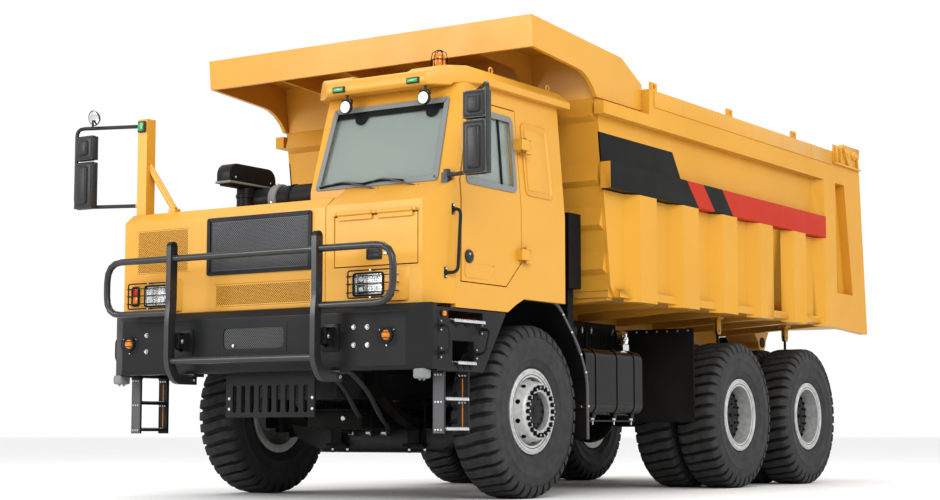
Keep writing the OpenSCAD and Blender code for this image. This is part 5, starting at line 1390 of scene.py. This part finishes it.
def tank_outline(grow, radius):
    """A tank's rounded section, grown a little; pairs are outward and up."""
    return rounded_rectangle([place - grow for place in TANK_LOW], [place + grow for place in TANK_HIGH],
                             radius, 6)


def add_strap(shape, x, side):
    """A steel band round a tank, closed by hook bolts below."""
    loops = []
    for grow, radius in ((0.007, 0.096), (-0.004, 0.086)):
        loops += add_loop(shape, [(along(x) - STRAP_WIDTH / 2, side * y, z)
                                  for y, z in tank_outline(grow, radius)])
    thicken(shape, bmesh.ops.bridge_loops(shape, edges=loops)["faces"], (STRAP_WIDTH, 0, 0))
    for y in HOOK_PLACES:
        foot = Vector((along(x), side * y, 0.735))
        add_rod(shape, foot, foot - Vector((0, 0, 0.100)), 0.009, 10, 1)
        add_block(shape, foot - Vector((0.030, 0.018, 0.038)), foot + Vector((0.030, 0.018, 0.002)), 0.005, 2)
        add_hex_nut(shape, foot - Vector((0, 0, 0.038)), DOWN, *HOOK_BOLT, 1)


def dress_tank(word, side, straps):
    """Straps, the rod through their hooks and the end plates of a tank."""
    bands = bmesh.new()
    for x in straps:
        add_strap(bands, x, side)
    add_rod(bands, (along(straps[0]) + 0.15, side * HOOK_PLACES[0], 0.672),
            (along(straps[-1]) - 0.05, side * HOOK_PLACES[0], 0.672), 0.009, 10)
    for end, depth in ((TANK_FRONT, 0.014), (straps[-1] - 0.110, -0.014)):
        ring = [bands.verts.new((along(end), side * y, z)) for y, z in tank_outline(-0.008, 0.086)]
        thicken(bands, [bands.faces.new(ring)], (depth, 0, 0))
    add_piece(f"tank_straps_{word}", bands, (gloss_black, steel), "chassis")


filler = bmesh.new()
neck = Vector((along(-1.860), 1.470, 1.326))
ELBOW = ((0, 0, 0.060), (-0.030, 0, 0.128), (0.020, 0.006, 0.150), (0.050, 0.010, 0.152))
add_turned(filler, [(0.060, 0.0), (0.060, 0.008), (0.050, 0.014), (0.049, 0.070), (0.040, 0.078),
                    (0.0, 0.078)], neck, UP, 32)
add_bent_rod(filler, rounded_path([neck + Vector(step) for step in ELBOW], 0.026), 0.034, 20)
add_turned(filler, [(0.0, -0.006), (0.046, -0.004), (0.050, 0.004), (0.050, 0.026), (0.044, 0.034),
                    (0.018, 0.036), (0.016, 0.044), (0.0, 0.045)],
           neck + Vector((0.046, 0.010, 0.152)), (0.96, 0.2, 0.12), 24)
add_piece("tank_filler_elbow", filler, chromed, "chassis")

FENDER_EDGE = ((0.330, 1.705), (-0.320, 1.705), (-0.690, 1.340), (-0.850, 1.050), (-0.856, 0.505))


def dress_fender(word, side):
    """Soft edge trim round a front wheel arch, with its screws and the flap's clamp bar."""
    trim = bmesh.new()
    edge = [(along(x), side * 1.636, z) for x, z in FENDER_EDGE]
    add_bent_rod(trim, rounded_path(edge, 0.110), 0.015, 10)
    for x, z in ((-0.410, 1.600), (-0.560, 1.452), (-0.722, 1.260), (-0.810, 1.102), (-0.850, 0.800)):
        add_turned(trim, [(0.013, -0.006), (0.013, 0.006), (0.009, 0.011), (0.0, 0.012)],
                   (along(x), side * 1.646, z), (0, side, 0), 12, 1)
    add_side_block(trim, side, (-0.852, -0.842), (0.880, 1.634), (0.775, 0.815), 0.003, 2, 2)
    for k in range(6):
        add_hex_nut(trim, (along(-0.843), side * (0.930 + 0.130 * k), 0.795), AHEAD, *COVER_NUT, 1, 1)
    add_piece(f"fender_edge_trim_{word}", trim, (fender_grey, steel, fender_black), "chassis")


def dress_flap(word, side):
    """Rolled edges, clamp bar and bolts on the large flap ahead of the rear wheels."""
    flap = bmesh.new()
    x = along(-2.886)
    add_bent_rod(flap, rounded_path([(x, side * 0.800, 0.674), (x, side * 1.696, 0.674),
                                     (x, side * 1.696, 1.596)], 0.030), 0.009, 8)
    add_side_block(flap, side, (-2.882, -2.872), (0.790, 1.690), (1.556, 1.596))
    for k in range(8):
        add_hex_nut(flap, (along(-2.873), side * (0.840 + 0.115 * k), 1.576), AHEAD, *FLAP_NUT, 1, 1)
    add_piece(f"rear_flap_trim_{word}", flap, (black_frame, steel), "chassis")


for word, side, straps in (("left", LEFT, (-1.105, -1.510, -1.847)),
                           ("right", RIGHT, (-1.050, -1.340, -1.630))):
    lay_treads(word, side)
    fit_handles(word, side)
    fit_ladder(word, side)
    dress_tank(word, side, straps)
    dress_fender(word, side)
    dress_flap(word, side)


# Air intake on the hood: canister, clamp band, loaf-shaped intake head and flat duct

intake = bmesh.new()
HOOD_TOP = 2.498
CANISTER = (along(0.620), -1.090, 2.680)
add_turned(intake, [(0.0, 0.0), (0.050, 0.004), (0.092, 0.024), (0.112, 0.060), (0.118, 0.110),
                    (0.118, 0.300), (0.114, 0.306), (0.114, 0.318)], CANISTER, LEFTWARD, 48, 0)
add_turned(intake, [(0.114, 0.314), (0.138, 0.318), (0.142, 0.326), (0.142, 0.392), (0.138, 0.400),
                    (0.122, 0.404)], CANISTER, LEFTWARD, 48, 1)
add_turned(intake, [(0.122, 0.400), (0.124, 0.410), (0.124, 1.060), (0.118, 1.066), (0.112, 1.080),
                    (0.112, 1.190), (0.124, 1.196), (0.124, 1.230), (0.0, 1.230)],
           CANISTER, LEFTWARD, 48, 0)
for height in (0.520, 0.930):
    add_turned(intake, [(0.120, height), (0.131, height + 0.002), (0.131, height + 0.034),
                        (0.120, height + 0.036)], CANISTER, LEFTWARD, 48, 2)
    y = CANISTER[1] + height
    add_block(intake, (along(0.540), y - 0.004, HOOD_TOP), (along(0.700), y + 0.040, 2.570), 0.006, 3, 0)
for turn in (-20, 70, 200):
    clasp = Vector((math.cos(math.radians(turn)), 0, math.sin(math.radians(turn))))
    spot = Vector(CANISTER) + clasp * 0.140 + Vector((0, 0.358, 0))
    add_turned(intake, [(0.0, -0.004), (0.022, -0.004), (0.022, 0.006), (0.014, 0.010), (0.013, 0.004),
                        (0.0, 0.004)], spot, clasp, 20, 3)

HEAD_REAR, HEAD_FRONT = along(0.400), along(1.050)
HEAD_RIGHT, HEAD_LEFT = -1.130, -0.970
HEAD_LOW, HEAD_TOP, HEAD_ROUND = 2.826, 2.996, 0.105
crown = [(HEAD_REAR, HEAD_LOW), (HEAD_FRONT, HEAD_LOW)]
crown += arc((HEAD_FRONT - HEAD_ROUND, HEAD_TOP - HEAD_ROUND), HEAD_ROUND, 0, 90, 8)
crown += arc((HEAD_REAR + HEAD_ROUND, HEAD_TOP - HEAD_ROUND), HEAD_ROUND, 90, 180, 8)
add_plate(intake, crown, "y", HEAD_RIGHT, HEAD_LEFT, 0, 0.010)
add_block(intake, (HEAD_REAR - 0.010, HEAD_RIGHT - 0.010, 2.810),
          (HEAD_FRONT + 0.010, HEAD_LEFT + 0.010, 2.832), 0.006, 3, 1)
add_block(intake, (HEAD_REAR + 0.030, HEAD_RIGHT + 0.012, 2.792),
          (HEAD_FRONT - 0.030, HEAD_LEFT - 0.012, 2.814), 0.005, 2, 2)
for x in (0.480, 0.970):
    add_hex_nut(intake, (along(x), HEAD_LEFT - 0.002, 2.866), LEFTWARD, *COVER_NUT, 3, 3)
add_turned(intake, [(0.0, 0.0), (0.094, 0.0), (0.094, 0.024), (0.082, 0.030), (0.080, 0.200),
                    (0.088, 0.206), (0.088, 0.236), (0.080, 0.242), (0.080, 0.300), (0.0, 0.300)],
           (along(0.740), -1.050, HOOD_TOP), UP, 40, 0)
add_block(intake, (along(0.450), -1.450, HOOD_TOP), (along(0.960), -0.960, 2.586), 0.014, 4, 4)
add_block(intake, (along(0.470), -1.456, 2.520), (along(0.940), -1.440, 2.566), 0.006, 3, 2)
for y in (-1.400, -1.225, -1.010):
    for x in (0.475, 0.935):
        add_hex_nut(intake, (along(x), y, 2.584), UP, *DUCT_NUT, 3, 3)
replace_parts(add_piece("air_intake", intake, (dark, seal_grey, rubber, steel, fender_grey), "chassis"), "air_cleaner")

# Under the front: axle face plate, spring clamps, oil pan, guide arms, tie rod sleeves
# and bumper stays, with the boxes on the frame

under = bmesh.new()
add_plate(under, [(-0.620, 0.392), (0.620, 0.392), (0.940, 0.520), (1.010, 0.640), (0.640, 0.604),
                  (-0.640, 0.604), (-1.010, 0.640), (-0.940, 0.520)], "x", along(0.072), along(0.094), 1,
          0.004)
add_block(under, (along(0.070), -0.640, 0.387), (along(0.150), 0.640, 0.401), 0.004, 2, 1)
for y in (-0.430, 0.430):
    for x in (-0.092, 0.092):
        for step in (-0.085, 0.085):
            add_bent_rod(under, rounded_path([(along(x), y + step, 0.410), (along(x), y + step, 0.850),
                                              (along(x), y, 0.862)], 0.030), 0.014, 10, 0)
            add_hex_nut(under, (along(x), y + step, 0.420), DOWN, *SPRING_NUT, 2, 2)
    add_block(under, (along(-0.160), y - 0.110, 0.440), (along(0.165), y + 0.110, 0.466), 0.005, 2, 0)
    add_block(under, (along(0.140), y - 0.062, 0.450), (along(0.156), y + 0.062, 0.700), 0.004, 2, 0)
add_block(under, (along(-0.620), -0.300, 0.592), (along(0.760), 0.300, 0.770), 0.035, 4, 0)
add_block(under, (along(-0.660), -0.330, 0.752), (along(0.800), 0.330, 0.772), 0.006, 2, 0)
for x in (-0.500, -0.250, 0.350, 0.600):
    add_block(under, (along(x) - 0.012, -0.306, 0.586), (along(x) + 0.012, 0.306, 0.760), 0.010, 3, 0)
add_turned(under, [(0.0, -0.006), (0.026, -0.006), (0.026, 0.010), (0.018, 0.016), (0.0, 0.016)],
           (along(0.768), 0.120, 0.690), AHEAD, 6, 2)
ARM_FOOT = along(0.150)
for spread, foot_y in ((0.560, 0.110), (0.330, -0.060), (-0.250, -0.260)):
    add_bent_rod(under, rounded_path([(along(1.300), spread, 1.090), (along(1.090), spread + 0.050, 0.930),
                                      (along(0.820), spread - 0.020, 0.720),
                                      (along(0.400), (spread + foot_y) / 2, 0.610),
                                      (ARM_FOOT - 0.050, foot_y, 0.560)], 0.140, 6), 0.022, 12, 1)
    add_turned(under, [(0.0, -0.030), (0.034, -0.030), (0.036, -0.024), (0.036, 0.024), (0.034, 0.030),
                       (0.0, 0.030)], (ARM_FOOT - 0.020, foot_y, 0.566), LEFTWARD, 20, 2)
    add_block(under, (along(1.240), spread - 0.050, 1.070), (along(1.360), spread + 0.050, 1.110),
              0.008, 3, 0)
add_piece("front_axle_fittings", under, (black_frame, mirror_black, steel), "chassis")

TIE_ROD_X, TIE_ROD_Z = along(-0.165), 0.545
sleeve = bmesh.new()
for y in (-0.740, 0.740):
    spot = (TIE_ROD_X, y, TIE_ROD_Z)
    add_turned(sleeve, [(0.020, -0.130), (0.030, -0.128), (0.032, -0.120), (0.032, 0.120), (0.030, 0.128),
                        (0.020, 0.130)], spot, LEFTWARD, 24, 0)
    for step in (-0.100, 0.100):
        add_turned(sleeve, [(0.030, step - 0.018), (0.040, step - 0.016), (0.040, step + 0.016),
                            (0.030, step + 0.018)], spot, LEFTWARD, 24, 1)
        add_hex_nut(sleeve, (TIE_ROD_X, y + step, 0.582), UP, *CLAMP_NUT, 1, 1)
add_piece("tie_rod_sleeves", sleeve, (chromed, black_frame), "tie_rod")


def fit_bumper_stay(word, side):
    """A cast stay under a bumper's end, with its two nuts."""
    stay = bmesh.new()
    add_side_block(stay, side, (1.655, 1.780), (1.560, 1.660), (0.985, 1.066), 0.020, 4)
    for x in (1.690, 1.745):
        add_hex_nut(stay, (along(x), side * 1.610, 0.987), DOWN, *CLAMP_NUT)
    add_piece(f"bumper_stay_{word}", stay, seal_grey, "chassis")


def fit_frame_boxes(word, side):
    """Boxes on the frame above a tank: lids, ribs, fasteners and the arms that carry them."""
    chest = bmesh.new()
    for front, rear in ((-1.000, -1.580), (-1.600, -2.200), (-2.220, -2.820)):
        add_side_block(chest, side, (rear, front), (0.600, 0.850), (1.352, 1.640), 0.014, 3)
        add_side_block(chest, side, (rear - 0.006, front + 0.006), (0.594, 0.856), (1.580, 1.654), 0.012, 3)
        middle = (front + rear) / 2
        for step in (-0.180, 0.0, 0.180):
            x = middle + step
            add_side_block(chest, side, (x - 0.014, x + 0.014), (0.846, 0.858), (1.372, 1.560), 0.005)
        for step in (-0.220, 0.220):
            x = middle + step
            add_side_block(chest, side, (x - 0.016, x + 0.016), (0.850, 0.872), (1.540, 1.604), 0.005, 2, 1)
        add_side_block(chest, side, (middle - 0.050, middle + 0.050), (0.470, 0.640), (1.290, 1.394), 0.008)
    add_piece(f"frame_side_boxes_{word}", chest, (black_frame, steel), "chassis")


for word, side in SIDES:
    fit_bumper_stay(word, side)
    fit_frame_boxes(word, side)


# Bed: rail plates with their rear brackets, and stone rods between the twin tyres

RAIL_Y = 1.900
RAIL_FOOT = RAIL_Y - 0.004
ROD_HANGERS = (-4.130, -5.905)
HANGER_EDGE = ((-0.050, 1.786), (0.050, 1.786), (0.050, 1.640), (0.030, 1.600), (-0.030, 1.600),
               (-0.050, 1.640))


def trim_bed_rail(word, side):
    """Seamed plate along a bed side's rail and the ribbed bracket with two bosses at its rear end."""
    trim = bmesh.new()
    add_side_block(trim, side, (-6.110, -1.700), (RAIL_FOOT, RAIL_Y + 0.010), (3.628, 3.786), 0.004)
    for x in (-2.300, -3.100, -3.900, -4.700, -5.500):
        add_side_block(trim, side, (x - 0.005, x + 0.005), (RAIL_FOOT, RAIL_Y + 0.012), (3.624, 3.790), 0.002)
    add_plate(trim, [(along(-6.140), 3.664), (along(-6.920), 3.664), (along(-6.920), 3.850),
                     (along(-6.480), 3.872), (along(-6.140), 3.872)], "y",
              *beside(side, RAIL_FOOT, RAIL_Y + 0.008))
    add_side_block(trim, side, (-6.930, -6.130), (RAIL_FOOT, RAIL_Y + 0.040), (3.646, 3.668), 0.005, 3)
    ribs = beside(side, RAIL_FOOT, RAIL_Y + 0.040)
    for x in (along(-6.180), along(-6.310)):
        add_plate(trim, rectangle((x - 0.016, 3.666), (x, 3.846)), "y", *ribs, 0, 0.003)
    for x, lean in ((along(-6.400), -0.150), (along(-6.800), -0.040)):
        add_plate(trim, [(x, 3.858), (x - 0.018, 3.858), (x + lean - 0.018, 3.668), (x + lean, 3.668)],
                  "y", *ribs, 0, 0.003)
    for x in (-6.500, -6.740):
        add_turned(trim, [(0.0, -0.006), (0.048, -0.006), (0.048, 0.036), (0.043, 0.042), (0.030, 0.043),
                          (0.028, 0.052), (0.0, 0.053)], (along(x), side * RAIL_Y, 3.806), (0, side, 0), 28)
    add_piece(f"bed_rail_trim_{word}", trim, yellow, "bed")


def hang_stone_rods(word, side):
    """Bars that hang from the bed between the twin tyres, each on a pin between two plates."""
    rods = bmesh.new()
    y = side * TWIN_MIDDLE_Y
    for x in (along(place) for place in ROD_HANGERS):
        hanger = [(x + step, z) for step, z in HANGER_EDGE]
        for start in (y - 0.022, y + 0.010):
            add_plate(rods, hanger, "y", start, start + 0.012, 0, 0.003)
        add_block(rods, (x - 0.070, y - 0.050, 1.764), (x + 0.070, y + 0.050, 1.792), 0.006)
        add_rod(rods, (x, y - 0.034, 1.640), (x, y + 0.034, 1.640), 0.013, 12, 2, 0.003)
        add_block(rods, (x - 0.022, y - 0.009, 1.180), (x + 0.022, y + 0.009, 1.672), 0.007, 3, 1)
    add_piece(f"stone_rods_{word}", rods, (yellow, black_frame, steel), "bed")


for word, side in SIDES:
    trim_bed_rail(word, side)
    hang_stone_rods(word, side)


# Driver's seat: padded cushions on a sprung pedestal, and the controls ahead of it

def add_cushion(shape, size, place, channels):
    """A crowned pad: a finely cut block, rounded, pulled in between its corners and sewn in channels."""
    made = bmesh.ops.create_cube(shape, size=2.0)
    edges = list({edge for v in made["verts"] for edge in v.link_edges})
    bmesh.ops.subdivide_edges(shape, edges=edges, cuts=26, use_grid_fill=True)
    half = Vector(size) / 2
    for v in shape.verts:
        a, b, c = v.co
        ball = Vector((a * math.sqrt(1 - b * b / 2 - c * c / 2 + b * b * c * c / 3),
                       b * math.sqrt(1 - c * c / 2 - a * a / 2 + c * c * a * a / 3),
                       c * math.sqrt(1 - a * a / 2 - b * b / 2 + a * a * b * b / 3)))
        soft = v.co.lerp(ball, 0.26)
        upper = max(0.0, c)
        soft.z += upper * 0.24 * (1 - a * a) * (1 - b * b)
        for sewn in channels:
            soft.z -= upper * 0.20 * math.exp(-((b - sewn) / 0.045) ** 2) * (1 - a ** 6)
        soft.z -= upper * 0.16 * math.exp(-((a - 0.45) / 0.040) ** 2) * (1 - b ** 6)
        if c < -0.98:
            soft.z = -1.0
        v.co = place @ Vector((soft.x * half.x, soft.y * half.y, soft.z * half.z))
    bmesh.ops.recalc_face_normals(shape, faces=shape.faces[:])


def sew_piping(shape, size, place, height):
    """Round piping sewn along a pad's upper edge."""
    loop = rounded_rectangle((-size[0] / 2 * 0.965, -size[1] / 2 * 0.965),
                             (size[0] / 2 * 0.965, size[1] / 2 * 0.965), 0.060, 6)
    add_bent_rod(shape, [place @ Vector((a, b, height)) for a, b in loop], 0.0055, 8, 1, True)


SEAT_Y = 0.970
LEAN = math.radians(12.7)
BACK_WAY = Matrix(((-math.sin(LEAN), 0, math.cos(LEAN)), (0.0, -1.0, 0.0),
                   (math.cos(LEAN), 0, math.sin(LEAN)))).to_4x4()
SEAT_PADS = (
    ("seat_cushion", (0.505, 0.490, 0.118), Matrix.Translation((along(0.262), SEAT_Y, 2.164)), (-0.55, 0.55)),
    ("seat_back", (0.520, 0.480, 0.112), Matrix.Translation((along(0.020), SEAT_Y, 2.505)) @ BACK_WAY,
     (-0.55, 0.0, 0.55)),
    ("seat_headrest", (0.128, 0.270, 0.088), Matrix.Translation((along(-0.078), SEAT_Y, 2.848)) @ BACK_WAY,
     ()),
)
for name, size, place, channels in SEAT_PADS:
    pad = bmesh.new()
    add_cushion(pad, size, place, channels)
    if channels:
        sew_piping(pad, size, place, size[2] * 0.36)
    piece = add_piece(name, pad, (seat_cover, rubber), "chassis", 60.0)
    smooth = piece.modifiers.new("soft_skin", "SUBSURF")
    smooth.levels = smooth.render_levels = 1
    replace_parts(piece, "seat")

pedestal = bmesh.new()
add_block(pedestal, (along(0.040), SEAT_Y - 0.180, 1.770), (along(0.440), SEAT_Y + 0.180, 1.800), 0.008, 3, 1)
for k in range(7):
    grow = 0.0 if k % 2 else 0.016
    add_block(pedestal, (along(0.078) - grow, SEAT_Y - 0.146 - grow, 1.796 + 0.034 * k),
              (along(0.402) + grow, SEAT_Y + 0.146 + grow, 1.836 + 0.034 * k), 0.014, 3, 0)
add_block(pedestal, (along(0.020), SEAT_Y - 0.225, 2.032), (along(0.500), SEAT_Y + 0.225, 2.106), 0.016, 3, 1)
add_block(pedestal, (along(-0.060), SEAT_Y - 0.205, 2.240), (along(-0.036), SEAT_Y + 0.205, 2.700),
          0.010, 3, 1, Matrix.Rotation(-LEAN, 4, "Y"))
for side in (-0.235, 0.235):
    add_block(pedestal, (along(0.180), SEAT_Y + side - 0.014, 2.050),
              (along(0.330), SEAT_Y + side + 0.014, 2.082), 0.008, 3, 1)
for y in (SEAT_Y - 0.070, SEAT_Y + 0.070):
    add_rod(pedestal, (along(-0.045), y, 2.700), (along(-0.083), y, 2.850), 0.007, 10, 2)
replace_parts(add_piece("seat_pedestal", pedestal, (rubber, cab_plastic, steel), "chassis"),
            "seat")

COLUMN_LEAN = math.radians(35)
COLUMN = Vector((-math.sin(COLUMN_LEAN), 0, math.cos(COLUMN_LEAN)))
WHEEL_HUB = Vector((along(0.908), SEAT_Y, 2.531))
GAUGE = 0.062
controls = bmesh.new()
add_turned(controls, [(0.0, -0.034), (0.050, -0.034), (0.062, -0.016), (0.064, 0.006), (0.052, 0.014),
                      (0.0, 0.017)], WHEEL_HUB, COLUMN, 32)
for side in (LEFT, RIGHT):
    foot = WHEEL_HUB - COLUMN * 0.090
    add_bent_rod(controls, rounded_path([foot, foot + Vector((0, side * 0.080, 0)),
                                         foot + Vector((0.010, side * 0.190, 0.030))], 0.030), 0.008, 10)
add_plate(controls, [(along(1.000), 2.520), (along(1.140), 2.548), (along(1.140), 2.630),
                     (along(1.070), 2.664), (along(1.012), 2.640)], "y", SEAT_Y - 0.190, SEAT_Y + 0.190,
          0, 0.012)
for y in (SEAT_Y - 0.085, SEAT_Y + 0.085):
    add_turned(controls, [(0.0, -0.010), (GAUGE, -0.010), (GAUGE, 0.004), (GAUGE - 0.008, 0.006),
                          (GAUGE - 0.012, 0.000), (0.0, 0.000)], (along(1.008), y, 2.580),
               (-1, 0, 0.1), 32, 1)
add_piece("driver_controls", controls, (rubber, chromed), "chassis")


# Floor, light and camera

FLOOR_REACH = 400.0
STUDIO_LIGHTS = (
    ("front_left_key", (14.0, 11.0, 9.0), (1.5, 0.5, 1.8), (7.0, 5.0), 940.0),
    ("left_side_fill", (-3.0, 15.0, 6.5), (-1.0, 0.5, 1.6), (9.0, 5.0), 430.0),
    ("front_right_fill", (15.0, -7.0, 6.0), (2.0, -0.5, 1.6), (6.0, 5.0), 700.0),
    ("overhead", (0.0, 0.0, 13.0), (0.0, 0.0, 2.0), (10.0, 6.0), 700.0),
)


def lay_floor():
    """A wide pale floor that is only part of the stage."""
    board = bmesh.new()
    bmesh.ops.create_grid(board, x_segments=1, y_segments=1, size=FLOOR_REACH)
    mesh = bpy.data.meshes.new("pale_floor")
    board.to_mesh(mesh)
    board.free()
    floor = bpy.data.objects.new("pale_floor", mesh)
    floor_finish = finish("pale_floor", (0.86, 0.86, 0.86), 0.7)
    lay_colour(floor_finish, blend_colour(floor_finish, grain(floor_finish, 0.4, 2.0),
                                          (0.84, 0.84, 0.84), (0.88, 0.88, 0.88)))
    mesh.materials.append(floor_finish)
    bpy.context.scene.collection.objects.link(floor)


def light_studio():
    """White surroundings and four soft lights."""
    world = bpy.data.worlds.new("white_studio")
    world.use_nodes = True
    backdrop = world.node_tree.nodes["Background"]
    backdrop.inputs["Color"].default_value = (1.0, 1.0, 1.0, 1.0)
    backdrop.inputs["Strength"].default_value = 0.85
    bpy.context.scene.world = world
    bpy.context.scene.view_settings.view_transform = "Standard"
    bpy.context.scene.view_settings.look = "Medium High Contrast"
    for light in STUDIO_LIGHTS:
        soft_light(*light)


place_camera()
lay_floor()
light_studio()
